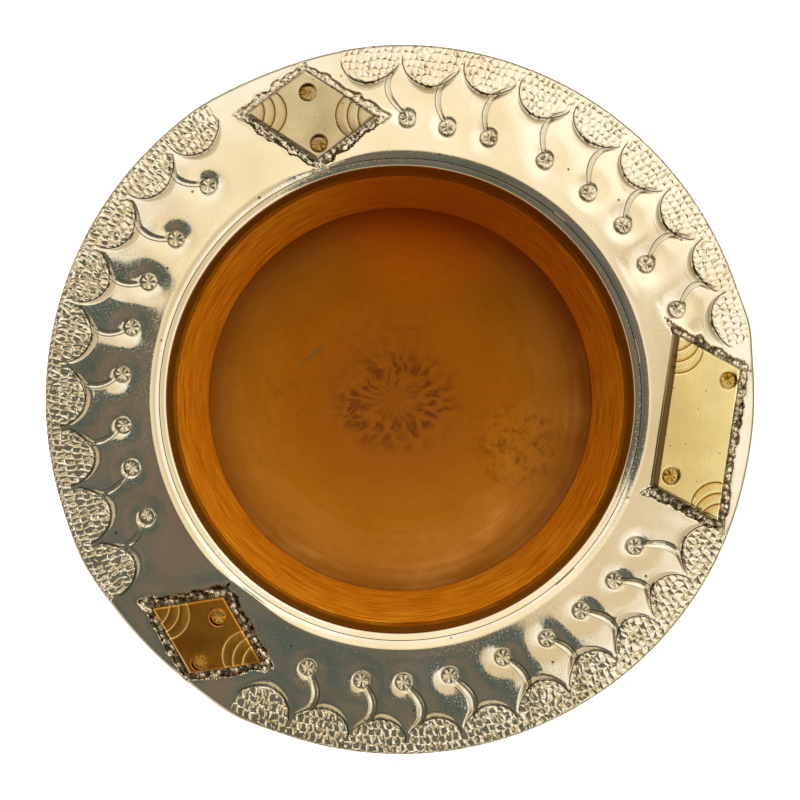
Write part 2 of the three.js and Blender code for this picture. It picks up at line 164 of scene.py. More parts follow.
SCALLOP_ENDS = (46.9, 48.1)  # radius of a scallop's clockwise and counter-clockwise end
SCALLOP_FULLNESS = (1.45, 2.0)  # of those two halves: 1 is a straight side, 2 an ellipse
SCALLOP_GAP = 0.25  # from a scallop's end to the middle of the horn
SCALLOP_END_HALF = 4.8  # degrees; half width of the outermost scallop of a row
SCALLOP_BEVEL = 0.85  # width of the crescent at its middle
SCALLOP_EDGE = 0.15  # width of the crescent at its ends
SCALLOP_DEPTH = 0.36
SCALLOP_END_SHARE = 0.3  # of that depth at its ends
SCALLOP_BURR = (0.1, 0.16, 0.035)  # ridge beside the crescent: how far off, how wide and how high
SCALLOP_SHADE = 0.34  # grime and painted shade in its bevel
SCALLOP_OVERRUN = 1.06  # share of its half width that its lines reach
SCALLOP_SPREAD = 8  # degrees either way that one can touch
SCALLOP_REACH = 1.8  # and inward from its foot
STALK_SLOPE = 0.55  # fall of its two sides
STALK_HOLLOW = 0.1  # the sheet sinks this far round a stalk
STALK_HOLLOW_REACH = 1.5
STALK_BOW = 1.9  # counter-clockwise from the straight line
STALK_LIFT = 0.2  # and outward
STALK_FOOT = (0.75, 0.95)  # from its rosette's centre, counter-clockwise and outward
STALK_STEPS = 40
STALK_SPREAD = 7  # degrees either way that one can touch
ROSETTE_RADIUS = 1.22
ROSETTE_PETALS = 7
ROSETTE_DEPTH = 0.16
ROSETTE_REACH = 2.8  # how far round a rosette the material knows its place
ROSETTE_TURN = 0.9  # radians from one rosette to the next
ROSETTE_SPREAD = 9  # degrees either way that one can touch
DIMPLE_RADIUS = 1.95
DIMPLE_DEPTH = 0.36
DIMPLE_OFFSET = 0.15  # outward from its rosette
DIMPLE_REACH = 5  # in and out from its rosette
CUT_LINE = 0.13  # half width of a chased line with its grime
MARK_RADIUS = 46  # where the marks of the matting punch have their width
MARK_CELLS = (128, 64)  # more than there are along one row and outward
MARK_JITTER = 0.55
MARK_SHIFT = 0.37  # from one line of marks to the next, in marks
MARK_DEPTH = 0.14
MARK_SLOPE = 0.58  # depth of a mark as deep as it is wide
MARK_WAVE = 0.3  # how far the rows of marks wander, in marks
PLAIN_EDGE = 0.5  # unmatted strip at the very edge
HAND_WAVES = 26
HAND_WAVE_HEIGHT = 0.045
HAND_WAVE_LENGTHS = (7, 22)
HAND_WAVE_MEAN = 15  # of those lengths, about

# How the brim's outline leaves its circle: angle and spread in degrees, shift in millimetres.
EDGE_SHIFTS = [(110, 12, -0.34), (226, 11, -0.22), (349, 15, -0.18), (12, 4, 0.4), (125, 5, 0.13),
               (207, 5, 0.28), (242, 5, 0.36)]
# Where the lip was pressed inwards by the plates' corners, in the same terms.
CREST_DENTS = [(108, 7, -0.9), (233, 8, -0.7)]
CREST_DENT_SHARE = 0.9  # of those shifts that is kept

# Brim mesh
BRIM_COLUMNS = 1260
OUTER_BAND = 43.0  # the scallops lie outside this radius
ROSETTE_BAND = 35.4  # the rosettes and the plates lie outside this one
OUTER_ROW = 0.22
UNDER_ROWS = (46.5, 43, 39.5, 36)  # radii of the rows underneath
ROSETTE_ROW = 0.25
PLAIN_ROW = 0.25

# Brass plates: angle, offset outward from the brim's middle, and the two diagonals with their turns
# clockwise, the long one from the brim's run and the short one from outward. The side that was filed
# to a slope is named, where there is one. Grime is how black its border is. The two rosettes are
# placed from the plate's middle.
PLATES = {
    "top": {"angle": 107.4, "offset": -0.9, "long": 18.1, "long_turn": 18.8, "short": 13.0,
            "short_turn": 8.9, "sloped": None, "grime": 0.58,
            "rosettes": [(-0.5, 3.1), (1.1, -4.2)]},
    "right": {"angle": -5.5, "offset": -1.0, "long": 27.1, "long_turn": -19.2, "short": 20.7,
              "short_turn": -57.7, "sloped": -1, "grime": 1.0,
              "rosettes": [(4.5, 6.6), (-3.7, -6.7)]},
    "left": {"angle": 230.5, "offset": 0.1, "long": 17.2, "long_turn": -13.5, "short": 12.2,
             "short_turn": -15.3, "sloped": None, "grime": 1.25,
             "rosettes": [(1.8, 2.6), (-0.9, -3.9)]},
}
PLATE_THICKNESS = 1
PLATE_ROUNDING = 0.3
PLATE_EDGE_DROPS = (0.28, 0.09)  # of the two rows over its edge
PLATE_SLOPE = 0.8  # width of the filed slope
PLATE_SLOPE_DROP = 0.8
# painted shade over a plate's filed slope
PLATE_SLOPE_SHADE = 0.9
EDGE_SHADE = 0.75  # painted shade on the edges of the plates and of the brim
PLATE_DISH = 0.05  # height of the waves in a plate's face
PLATE_ROSETTE_TURN = 1.3
PLATE_GOUGE_REACHES = [2.5, 4.0, 5.6]  # from the sharp corner to the crown of each gouge
PLATE_GOUGE_RADIUS = 3.6
PLATE_GOUGE_WIDTH = 1.0  # at its crown
PLATE_GOUGE_WALL = 0.12  # width of the steep side, at the crown
PLATE_GOUGE_DEPTH = 0.2
PLATE_CELLS = (150, 90)
BORDER_WIDTH = 1.15
BORDER_PIT = 0.9
BORDER_PIT_SHAPE = 0.62  # a pit's size outward, as a share of its size along the side
BORDER_CELLS = (512, 64)
BORDER_JITTER = 0.7
BORDER_WOBBLE = 0.18  # of its width
BORDER_WOBBLE_STEP = 0.9  # along the side
BORDER_RUN = 130  # more than its run reaches either way
BORDER_REACH = (-0.6, 3.5)  # from a plate's side, how far its border can touch
LUMP_HEIGHT = 0.5

# Marks on the gourd's floor
FLOOR_PAINTED_LIGHT_MIDDLE = (-2, 3)  # middle of the floor's painted light: darker there, where the lamp's light pools, paler towards the shade under the ridge
SCAR_PLACE = (-0.9, -0.3)
SCAR_RADIUS = 13
SCAR_STRETCH = 1.25  # how much wider than high it is
SCAR_STROKES = 30  # in one ring round the scar
SCAR_STROKE_LENGTH = 3.4
MOULD_SPOTS = [((20.5, -7.8), 9, 1.0), ((-20.5, -0.3), 7, 0.4), ((-2.5, 9), 12, 0.45), ((4.4, 5), 4, 0.9)]
TOP_SHADE_PLACE = (5, 43)  # middle of a painted shade: the top side of the shell's inside is painted darker and redder
TOP_SHADE_REACH = (12, 17)
SCRATCH_ENDS = ((-18.2, 6.1), (-13.2, 10.4))
SCRATCH_WIDTH = 0.4

# Seeds of what is left to chance
MATTING_SEED = 11
BRIM_WAVE_SEED = 5
BORDER_SEED = 40
BORDER_SEED_STEP = 10
PLATE_SEED = 70
FLOOR_WAVE_SEED = 21
COVER_WAVE_SEED = 31

# Camera and light, in millimetres and degrees
CAMERA_PLACE = (-0.056, -0.098, 408)
CAMERA_LENS = 97.1
SENSOR = 36
FLOOR_SIZE = 4000
TABLE_GLOW = 0.62
# Bright panes of the room: azimuth, angle from straight up, radius and soft edge, then the light.
WINDOWS = [((98, 20, 18, 12), (1.16, 1.05, 0.8)), ((48, 47, 18, 7), (1.4, 1.33, 1.18))]
DARK_SIDE = (228, 60, 55, 1.5)  # in the same terms
SHELF_LIGHT = (1.16, 1.13, 1.04)  # of a bright band high in the room


def srgb(code):
    """Linear colour of an sRGB hex code."""
    channels = [int(code[i:i + 2], 16) / 255 for i in (1, 3, 5)]
    linear = [c / 12.92 if c <= 0.04045 else ((c + 0.055) / 1.055) ** 2.4 for c in channels]
    return (*linear, 1.0)


def per_mm(size):
    """Texture scale that gives features of a size in millimetres."""
    return 1 / (size * MM)


def direction(azimuth, zenith):
    """Unit vector at an azimuth and an angle from straight up, in degrees."""
    around, down = math.radians(azimuth), math.radians(zenith)
    return (math.sin(down) * math.cos(around), math.sin(down) * math.sin(around), math.cos(down))


def smooth(value, low, high):
    """0 below low, 1 above high, an eased step between them."""
    part = np.clip((value - low) / (high - low), 0, 1)
    return part * part * (3 - 2 * part)


def turn_between(theta, degrees):
    """Signed angle in radians from an angle in degrees to theta, by the shorter way."""
    return (theta - math.radians(degrees) + math.pi) % math.tau - math.pi


def bumps(theta, shifts):
    """Sum of rounded bumps round the axis."""
    total = np.zeros_like(theta)
    for degrees, spread, shift in shifts:
        total += shift * np.exp(-(turn_between(theta, degrees) / math.radians(spread)) ** 2)
    return total


def rim_top(radius):
    """Height of the rim's upper surface at a radius: the lip inside the crest, the brim outside it."""
    inward = np.clip((CREST_RADIUS - radius) / LIP_WIDTH, 0, 1)
    outward = np.clip((radius - CREST_RADIUS) / FLANGE_WIDTH, 0, None)
    lip = LIP_DROP * (1 - np.sqrt(1 - inward * inward))
    brim = FLANGE_DROP * (FLANGE_CONE * outward + (1 - FLANGE_CONE) * outward * outward)
    return CUP_HEIGHT - lip - brim


def bowl(radius, floor, height):
    """Outline of a rounded bowl from its floor on the axis out to its widest point."""
    power = 2 / ROUNDNESS
    turns = np.linspace(0, math.pi / 2, BOWL_STEPS + 1)
    across = radius * np.sin(turns) ** power
    up = height - (height - floor) * np.maximum(0, np.cos(turns)) ** power
    return list(zip(across.tolist(), up.tolist()))


def shoulder(from_radius, from_height, to_radius, to_height):
    """Outline of an S-shaped side between two radii, upright at both ends."""
    part = np.linspace(0, 1, SHOULDER_STEPS + 1)[1:]
    across = to_radius + (from_radius - to_radius) * (1 + np.cos(math.pi * part)) / 2
    up = from_height + (to_height - from_height) * part
    return list(zip(across.tolist(), up.tolist()))


GOURD_TOP = float(rim_top(COLLAR_INNER)) - SHEET - CLEARANCE - BEDDING - CLEARANCE


def gourd_outside():
    belly = bowl(BELLY_RADIUS, GOURD_BOTTOM, BELLY_HEIGHT)
    neck = shoulder(BELLY_RADIUS, BELLY_HEIGHT, NECK_RADIUS, NECK_HEIGHT)
    return belly + neck + [(NECK_RADIUS, GOURD_TOP)]


def gourd_inside():
    hollow = bowl(BOWL_RADIUS, FLOOR_HEIGHT, BELLY_HEIGHT)
    wall = shoulder(BOWL_RADIUS, BELLY_HEIGHT, RIDGE_RADIUS, RIDGE_HEIGHT)
    ledge = SLEEVE_FOOT - CLEARANCE
    cone = [(RIDGE_RADIUS + (MOUTH_RADIUS - RIDGE_RADIUS) * part,
             RIDGE_HEIGHT + (ledge - RIDGE_HEIGHT) * part) for part in (0.03, 0.08, 0.3, 0.6, 1)]
    return hollow + wall + cone + [(JOINT_RADIUS, ledge), (JOINT_RADIUS, GOURD_TOP)]


def skin(distance, inner_radius):
    """The gourd's outside moved out by a distance, without the part near the axis."""
    outline = np.array(gourd_outside())
    run = np.gradient(outline, axis=0)
    run /= np.hypot(run[:, 0], run[:, 1])[:, None]
    moved = outline + distance * np.stack([run[:, 1], -run[:, 0]], axis=1)
    start = (inner_radius, float(np.interp(inner_radius, moved[:BOWL_STEPS, 0], moved[:BOWL_STEPS, 1])))
    return [start] + [tuple(point) for point in moved.tolist() if point[0] > inner_radius]


def radius_at(outline, height):
    """Radius of an outline that only rises, at a height."""
    radii, heights = zip(*outline)
    return float(np.interp(height, heights, radii))


# Modelling


def drawn(name, outline):
    """A chain of vertices through (radius, height) points, extruded from one; stays in edit mode."""
    bpy.ops.object.select_all(action="DESELECT")
    (radius, height), rest = outline[0], outline[1:]
    bpy.ops.mesh.primitive_plane_add(size=MM, location=(radius * MM, 0, height * MM))
    piece = bpy.context.object
    piece.name = piece.data.name = name
    bpy.ops.object.transform_apply(location=True)
    bpy.ops.object.mode_set(mode="EDIT")
    bpy.ops.mesh.select_all(action="SELECT")
    bpy.ops.mesh.merge(type="CENTER")
    for next_radius, next_height in rest:
        step = ((next_radius - radius) * MM, 0, (next_height - height) * MM)
        bpy.ops.mesh.extrude_vertices_move(TRANSFORM_OT_translate={"value": step})
        radius, height = next_radius, next_height
    return piece


def close_up(piece):
    """Merges doubles, turns every face outwards and shades it smooth, in object mode."""
    bpy.ops.object.mode_set(mode="EDIT")
    bpy.ops.mesh.select_all(action="SELECT")
    bpy.ops.mesh.remove_doubles(threshold=MERGE)
    bpy.ops.mesh.normals_make_consistent(inside=False)
    bpy.ops.object.mode_set(mode="OBJECT")
    bpy.ops.object.shade_smooth()
    return piece


def turned(name, outline, steps=TURN_STEPS, angle=math.tau):
    """Turns an outline round the Z axis."""
    piece = drawn(name, outline)
    bpy.ops.object.mode_set(mode="OBJECT")
    bpy.ops.object.modifier_add(type="SCREW")
    screw = piece.modifiers["Screw"]
    screw.angle = angle
    screw.steps = screw.render_steps = steps
    screw.use_merge_vertices = True
    screw.merge_threshold = MERGE
    bpy.ops.object.modifier_apply(modifier="Screw")
    return close_up(piece)


def grid(name, across, along):
    """A flat grid, and its vertices' places in it from 0 to 1 both ways."""
    bpy.ops.object.select_all(action="DESELECT")
    bpy.ops.mesh.primitive_grid_add(x_subdivisions=across, y_subdivisions=along, size=1)
    piece = bpy.context.object
    piece.name = piece.data.name = name
    points = places(piece) * MM + 0.5
    return piece, points[:, 0], points[:, 1]


def places(piece):
    """A piece's vertices in millimetres."""
    flat = np.zeros(len(piece.data.vertices) * 3, np.float32)
    piece.data.vertices.foreach_get("co", flat)
    return flat.reshape(-1, 3).astype(float) / MM


def polar(points):
    """Distance from the axis and angle round it."""
    return np.hypot(points[:, 0], points[:, 1]), np.arctan2(points[:, 1], points[:, 0])


def pick(piece):
    """Selects one piece alone."""
    bpy.ops.object.select_all(action="DESELECT")
    piece.select_set(True)
    bpy.context.view_layer.objects.active = piece


def set_places(piece, points):
    piece.data.vertices.foreach_set("co", (points * MM).astype(np.float32).ravel())
    piece.data.update()


def set_attribute(piece, name, values):
    """A number or a vector per vertex for a material to read."""
    kind, field = ("FLOAT", "value") if values.ndim == 1 else ("FLOAT_VECTOR", "vector")
    attribute = piece.data.attributes.new(name, kind, "POINT")
    attribute.data.foreach_set(field, values.astype(np.float32).ravel())


def sharpen(piece, degrees):
    """Smooth shading that keeps edges sharper than an angle."""
    pick(piece)
    bpy.ops.object.shade_smooth_by_angle(angle=math.radians(degrees))


def fitted(piece, material, slot, *nodes):
    """Gives a piece its material, the body it rides on and the CAD nodes it stands for."""
    piece.data.materials.clear()
    piece.data.materials.append(material)
    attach(piece, "root")
    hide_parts(*nodes)
    return piece


# Chased relief: heights in millimetres added to the brim's upper surface


class Cells:
    """Marks of a punch set side by side by hand: a jittered grid of cells, each tilted its own way."""

    def __init__(self, seed, columns, rows, jitter):
        draw = np.random.default_rng(seed)
        self.size = (columns, rows)
        self.centre = 0.5 + jitter * draw.uniform(-0.5, 0.5, (columns, rows, 2))
        self.tilt = draw.normal(0, 1, (columns, rows, 2))
        self.weight = draw.uniform(0, 1, (columns, rows))

    def at(self, across, along):
        """Distance from the nearest cell's border, its tilted face and its own random weight."""
        columns, rows = self.size
        column, row = np.floor(across).astype(int), np.floor(along).astype(int)
        near = np.full(across.shape, 9.0)
        second = near.copy()
        face = np.zeros_like(near)
        weight = np.zeros_like(near)
        for i in (-1, 0, 1):
            for j in (-1, 0, 1):
                cell = ((column + i) % columns, (row + j) % rows)
                dx = across - (column + i) - self.centre[cell][:, 0]
                dy = along - (row + j) - self.centre[cell][:, 1]
                away = np.hypot(dx, dy)
                closer = away < near
                second = np.where(closer, near, np.minimum(second, away))
                tilt = self.tilt[cell]
                face = np.where(closer, dx * tilt[:, 0] + dy * tilt[:, 1], face)
                weight = np.where(closer, self.weight[cell], weight)
                near = np.where(closer, away, near)
        return second - near, face, weight


def hand_waves(x, y, seed):
    """The slow unevenness that hammering leaves in the sheet."""
    draw = np.random.default_rng(seed)
    total = np.zeros_like(x)
    for _ in range(HAND_WAVES):
        around = draw.uniform(0, math.tau)
        length = draw.uniform(*HAND_WAVE_LENGTHS)
        phase = draw.uniform(0, math.tau)
        total += length * np.sin(math.tau * (x * math.cos(around) + y * math.sin(around)) / length + phase)
    return total / (HAND_WAVE_MEAN * math.sqrt(HAND_WAVES / 2))


def scallop_halves(scallops):
    """Half widths in degrees of each scallop, clockwise and counter-clockwise, up to its horns."""
    angles = [angle for angle, _ in scallops]
    gaps = [(after - before) / 2 for before, after in zip(angles, angles[1:])]
    return list(zip([SCALLOP_END_HALF] + gaps, gaps + [SCALLOP_END_HALF]))


def chase_scallops(relief, scallops, blow, tarnish_and_shade):
    """Crescents cut deep on the side of the matting and sloped up towards the mouth."""
    for (angle, foot), halves in zip(scallops, scallop_halves(scallops)):
        turn = turn_between(relief.theta, angle)
        near = (np.abs(turn) < math.radians(SCALLOP_SPREAD)) & (relief.radius > foot - SCALLOP_REACH)
        turn, radius = turn[near], relief.radius[near]
        counter = (turn > 0).astype(int)
        end = np.array(SCALLOP_ENDS)[counter]
        full = np.array(SCALLOP_FULLNESS)[counter]
        half = np.radians(np.array(halves)[counter]) * end - SCALLOP_GAP
        depth = end - foot
        across = np.abs(turn) * radius / half
        below = np.maximum((end - radius) / depth, 1e-6)
        spread = (across ** full + below ** full) ** (1 / full)
        slope = np.hypot((across / spread) ** (full - 1) / half, (below / spread) ** (full - 1) / depth)
        outside = (spread - 1) / slope
        under = smooth(end - radius, -0.4, 0.3)
        taper = np.clip(1 - across ** 2, 0, 1) * smooth(below, 0.0, 0.4)
        width = SCALLOP_EDGE + SCALLOP_BEVEL * taper
        bevel = np.clip(1 - outside / width, 0, 1) ** 1.3
        wall = smooth(outside, -0.2, 0.02)
        fullness = SCALLOP_END_SHARE + (1 - SCALLOP_END_SHARE) * taper
        cut = SCALLOP_DEPTH * fullness * np.where(outside > 0, bevel, wall)
        relief.height[near] -= cut * under
        burr_off, burr_width, burr_height = SCALLOP_BURR
        burr = np.exp(-((outside - width - burr_off) / burr_width) ** 2) * taper * under
        relief.height[near] += burr_height * burr
        # The bevel is darkened with grime and painted shade, more in rows with more tarnish.
        shade = np.where(outside > 0, (SCALLOP_SHADE + tarnish_and_shade) * bevel, 0) * under
        relief.soil_and_shade(near, shade)
        own = across < SCALLOP_OVERRUN
        within = near.nonzero()[0][own]
        relief.cuts[within, 0] = np.clip(outside[own] + 0.03, -1, 1)
        relief.cuts[within, 1] = np.clip((outside - width)[own], -1, 1)
        relief.line_strengths[within, 0] = under[own]
        relief.line_strengths[within, 1] = (taper * under)[own]
        pocket = smooth(-outside, 0.05, 0.3)
        relief.matting[near] = np.maximum(relief.matting[near], blow * pocket)


def stalk_path(horn_angle, rosette):
    """Points down a stalk as turn from the horn's angle and radius."""
    angle, centre = rosette
    side = math.radians(angle - horn_angle)
    start = np.array([0.0, SCALLOP_ENDS[0]])
    foot = np.array([side * centre, centre]) + STALK_FOOT
    middle = (start + foot) / 2 + np.array([STALK_BOW, STALK_LIFT])
    control = 2 * middle - (start + foot) / 2
    part = np.linspace(0, 1, STALK_STEPS)[:, None]
    path = (1 - part) ** 2 * start + 2 * part * (1 - part) * control + part ** 2 * foot
    path[:, 0] /= path[:, 1]
    return path


def chase_stalk(relief, horn_angle, rosette, width, tarnish_and_shade):
    """A bowed groove that is thin at the horn and fullest in its lower half."""
    path = stalk_path(horn_angle, rosette)
    turn = turn_between(relief.theta, horn_angle)
    near = (relief.radius > rosette[1] - 1) & (relief.radius < HORN_RADIUS + 0.6)
    near &= np.abs(turn) < math.radians(STALK_SPREAD)
    radius = relief.radius[near]
    x = turn[near] * radius
    dx = x[:, None] - path[:, 0] * path[:, 1]
    dy = radius[:, None] - path[:, 1]
    away = np.hypot(dx, dy)
    nearest = away.argmin(axis=1)
    away = away[np.arange(len(away)), nearest]
    part = nearest / (len(path) - 1)
    half = width / 2 * (0.3 + 0.7 * np.sin(math.pi * np.clip(part * 0.72 + 0.06, 0, 1)) ** 1.2)
    groove = np.clip(1 - away / half, 0, 1)
    hollow = np.exp(-(away / STALK_HOLLOW_REACH) ** 2) * smooth(part, 0.1, 0.5)
    relief.height[near] -= STALK_SLOPE * half * groove + STALK_HOLLOW * hollow
    # The groove's inside takes the row's tarnish: brown film and painted shade.
    relief.soil_and_shade(near, tarnish_and_shade * smooth(groove, 0, 0.5))
    closer = np.abs(away - half) < np.abs(relief.cuts[near, 2])
    chosen = near.nonzero()[0][closer]
    relief.cuts[chosen, 2] = np.clip(away - half, -1, 1)[closer]
    # A stalk's edge line is drawn darker on its counter-clockwise side, as painted shade.
    side = np.where(dx[np.arange(len(dx)), nearest] > 0, 1.0, 0.6)
    relief.line_strengths[chosen, 2] = (smooth(part, 0.02, 0.2) * side)[closer]


def rosette_relief(x, y, turn, deep_shaded_side):
    """Height and grime of a rosette punch: a ring with petals, struck deeper on one side (+y or -y).

    On that side its ring is also painted darker, as shade.
    """
    away = np.hypot(x, y)
    around = np.arctan2(y, x) + turn
    inside = smooth(-away, -ROSETTE_RADIUS - 0.1, -ROSETTE_RADIUS + 0.12)
    fold = np.abs((around * ROSETTE_PETALS / math.tau) % 1 - 0.5) * 2
    petal = ROSETTE_DEPTH * (0.45 + 0.55 * np.minimum(1, fold * away / 0.55)) * 0.6
    ring = np.exp(-((away - ROSETTE_RADIUS + 0.1) / 0.16) ** 2)
    # The ring's grime is heavier on the deep side: painted shade.
    outer = smooth(deep_shaded_side * y / ROSETTE_RADIUS, 0.1, 1.0)
    height = -inside * (ROSETTE_DEPTH - petal) - ring * (0.06 + 0.16 * outer)
    lines = inside * 0.3 * (1 - np.minimum(1, fold * 2.2)) * (away > 0.2)
    grime = np.maximum(ring * (0.15 + 0.75 * outer), lines)
    return height, grime


def punch_places(punch, x, y, turn):
    """Places on the rosette punch, for the petals that the material draws, and how hard it struck."""
    away = np.hypot(x, y)
    around = np.arctan2(y, x) + turn
    uneven = 0.75 + 0.35 * away / ROSETTE_RADIUS * np.cos(around - 3.1 * turn)
    strength = np.clip(uneven, 0.2, 1) * (away < ROSETTE_RADIUS + 0.6)
    local = np.stack([away * np.cos(around), away * np.sin(around), strength], axis=1)
    return np.where((away < ROSETTE_REACH)[:, None], local, punch)


def chase_rosette(relief, rosette, number, deep_shaded_side):
    angle, centre = rosette
    turn = turn_between(relief.theta, angle)
    near = np.abs(turn) < math.radians(ROSETTE_SPREAD)
    near &= np.abs(relief.radius - centre) < DIMPLE_REACH
    x = turn[near] * relief.radius[near]
    y = relief.radius[near] - centre
    dimple = np.exp(-(x ** 2 + (y - DIMPLE_OFFSET) ** 2) / DIMPLE_RADIUS ** 2)
    height, grime = rosette_relief(x, y, ROSETTE_TURN * number, deep_shaded_side)
    relief.height[near] += height - DIMPLE_DEPTH * dimple
    relief.soil_and_shade(near, 0.8 * grime)
    relief.punch[near] = punch_places(relief.punch[near], x, y, ROSETTE_TURN * number)


def chase_matting(relief, rows):
    """Rows of small punch marks that fill the scallops and run on to the edge."""
    for row in rows:
        first, last = row["scallops"][0][0], row["scallops"][-1][0]
        middle, half = (first + last) / 2, math.radians((last - first) / 2 + SCALLOP_END_HALF - 0.6)
        turn = turn_between(relief.theta, middle)
        own = np.abs(turn) < half + 0.1
        width, length = row["mark"]
        relief.marks[own, 0] = turn[own] * MARK_RADIUS / width
        relief.marks[own, 1] = relief.radius[own] / length
        outside = 0.75 * row["blow"] * smooth(relief.radius, HORN_RADIUS + 0.1, HORN_RADIUS + 0.7)
        outside *= smooth(half - np.abs(turn), 0, math.radians(1))
        relief.matting[:] = np.maximum(relief.matting, outside)
    relief.matting[:] *= smooth(RIM_RADIUS - relief.radius, 0.1, PLAIN_EDGE)
    near = relief.matting > 0
    cells = Cells(MATTING_SEED, *MARK_CELLS, MARK_JITTER)
    column, line, _ = relief.marks[near].T
    across = column + MARK_WAVE * np.sin(math.tau * line) + MARK_SHIFT * np.floor(line)
    border, face, weight = cells.at(across, line)
    lump = smooth(border, 0.0, 0.5)
    relief.height[near] += relief.matting[near] * (MARK_DEPTH * (lump * weight - 0.7) + 0.04 * face * lump)


class Plate:
    """Place of a brass plate on the brim: a parallelogram with its corners at (+-1, +-1)."""

    def __init__(self, angle, offset, long, long_turn, short, short_turn, sloped, grime, rosettes):
        around = math.radians(angle)
        outward = np.array([math.cos(around), math.sin(around)])
        run = np.array([math.sin(around), -math.cos(around)])
        self.middle = outward * ((CREST_RADIUS + RIM_RADIUS) / 2 + offset)
        sharp = self.aimed(long / 2, long_turn, run, outward)
        blunt = self.aimed(short / 2, short_turn - 90, run, outward)
        self.sharp = sharp
        self.sides = np.stack([(sharp + blunt) / 2, (sharp - blunt) / 2], axis=1)
        area = abs(np.linalg.det(self.sides))
        self.lengths = np.linalg.norm(self.sides, axis=0)
        self.reach = area / self.lengths[::-1]  # from the middle square to each pair of sides
        self.sloped = sloped
        self.grime = grime
        self.rosettes = rosettes

    @staticmethod
    def aimed(length, degrees, run, outward):
        around = math.radians(-degrees)
        return length * (math.cos(around) * run + math.sin(around) * outward)

    def local(self, x, y):
        """Shares of the two half sides at a point."""
        return np.linalg.solve(self.sides, np.stack([x, y]) - self.middle[:, None])

    def outside(self, x, y):
        """Distance outside the nearest side, its pair and its end of that pair, and the run along it."""
        u, v = self.local(x, y)
        du = (np.abs(u) - 1) * self.reach[0]
        dv = (np.abs(v) - 1) * self.reach[1]
        by_u = du > dv
        run = np.where(by_u, v * self.lengths[1] + 40 * np.sign(u), u * self.lengths[0] + 90 * np.sign(v))
        return np.maximum(du, dv), by_u, np.where(by_u, np.sign(u), np.sign(v)), run


def chase_border(relief, plate, seed):
    """A rough border of pits and burrs struck round a plate to hold it."""
    away, by_u, sign, run = plate.outside(relief.x, relief.y)
    near = (away > BORDER_REACH[0]) & (away < BORDER_REACH[1])
    if plate.sloped is not None:
        near &= ~(by_u & (sign == plate.sloped))
    d, s = away[near], run[near]
    draw = np.random.default_rng(seed)
    knots = np.arange(-BORDER_RUN, BORDER_RUN, BORDER_WOBBLE_STEP)
    wobble = BORDER_WOBBLE * np.interp(s, knots, draw.normal(0, 1, len(knots)))
    band = smooth(d, -0.05, 0.15) * smooth(BORDER_WIDTH + wobble - d, -0.1, 0.2)
    columns, rows = BORDER_CELLS
    cells = Cells(seed + 1, columns, rows, BORDER_JITTER)
    along = (s / BORDER_PIT + columns / 2) % columns
    outward = (d / (BORDER_PIT * BORDER_PIT_SHAPE) + rows / 8) % rows
    border, face, weight = cells.at(along, outward)
    lump = smooth(border, 0.05, 0.45)
    pits = -0.22 + 0.2 * lump * weight + 0.06 * face * lump
    # gap is a dark line right along the plate's side: painted shadow of the raised plate.
    gap = np.exp(-((d - 0.08) / 0.2) ** 2)
    shade = np.maximum(0.95 * gap, 0.35 * (1 - lump) * weight)
    burr = np.exp(-((d - BORDER_WIDTH - wobble - 0.12) / 0.2) ** 2)
    relief.height[near] += band * pits + 0.06 * burr - 0.06 * np.exp(-((d - 1.6) / 1.3) ** 2)
    relief.matting[near] *= 1 - band
    relief.border[near] = np.maximum(relief.border[near], plate.grime * band)
    relief.patina_and_shade[near] = np.maximum(relief.patina_and_shade[near] * (1 - band), np.clip(shade, 0, 0.95) * band)


class Relief:
    """Heights, matting, and grime with painted shade, at points of the brim's upper surface."""

    def __init__(self, x, y):
        self.x, self.y = x, y
        self.radius = np.hypot(x, y)
        self.theta = np.arctan2(y, x)
        self.height = np.zeros_like(x)
        self.matting = np.zeros_like(x)
        self.patina_and_shade = np.zeros_like(x)
        self.border = np.zeros_like(x)
        self.fill = np.zeros_like(x)  # how deep in a plate's gouge
        self.punch = np.zeros((len(x), 3))
        self.marks = np.zeros((len(x), 3))  # place among the matting's marks
        self.cuts = np.ones((len(x), 3))  # to a crescent's foot, to its brow and to a stalk's edge
        self.line_strengths = np.zeros((len(x), 3))  # how dark each of those lines is drawn, 0 to 1: its cut, and painted shade on one side of a stalk

    def soil_and_shade(self, near, grime):
        """Lays grime and painted shade on some points, where there is less of it."""
        self.patina_and_shade[near] = np.maximum(self.patina_and_shade[near], grime)


def chase(x, y, plates):
    """All the work done on the brim by hand."""
    relief = Relief(x, y)
    number = 0
    for row in ORNAMENT_ROWS:
        chase_scallops(relief, row["scallops"], row["blow"], row["tarnish_and_shade"])
    chase_matting(relief, ORNAMENT_ROWS)
    for row in ORNAMENT_ROWS:
        angles = [angle for angle, _ in row["scallops"]]
        for before, after, rosette in zip(angles, angles[1:], row["rosettes"]):
            chase_stalk(relief, (before + after) / 2, rosette, row["stalk"], row["tarnish_and_shade"])
            chase_rosette(relief, rosette, number, row["deep_shaded_side"])
            number += 1
    for order, plate in enumerate(plates.values()):
        chase_border(relief, plate, BORDER_SEED + BORDER_SEED_STEP * order)
    free = smooth(relief.radius, CREST_RADIUS + 0.2, CREST_RADIUS + 1.5)
    relief.height += HAND_WAVE_HEIGHT * hand_waves(x, y, BRIM_WAVE_SEED) * (0.35 + 0.65 * free)
    return relief


# Pieces


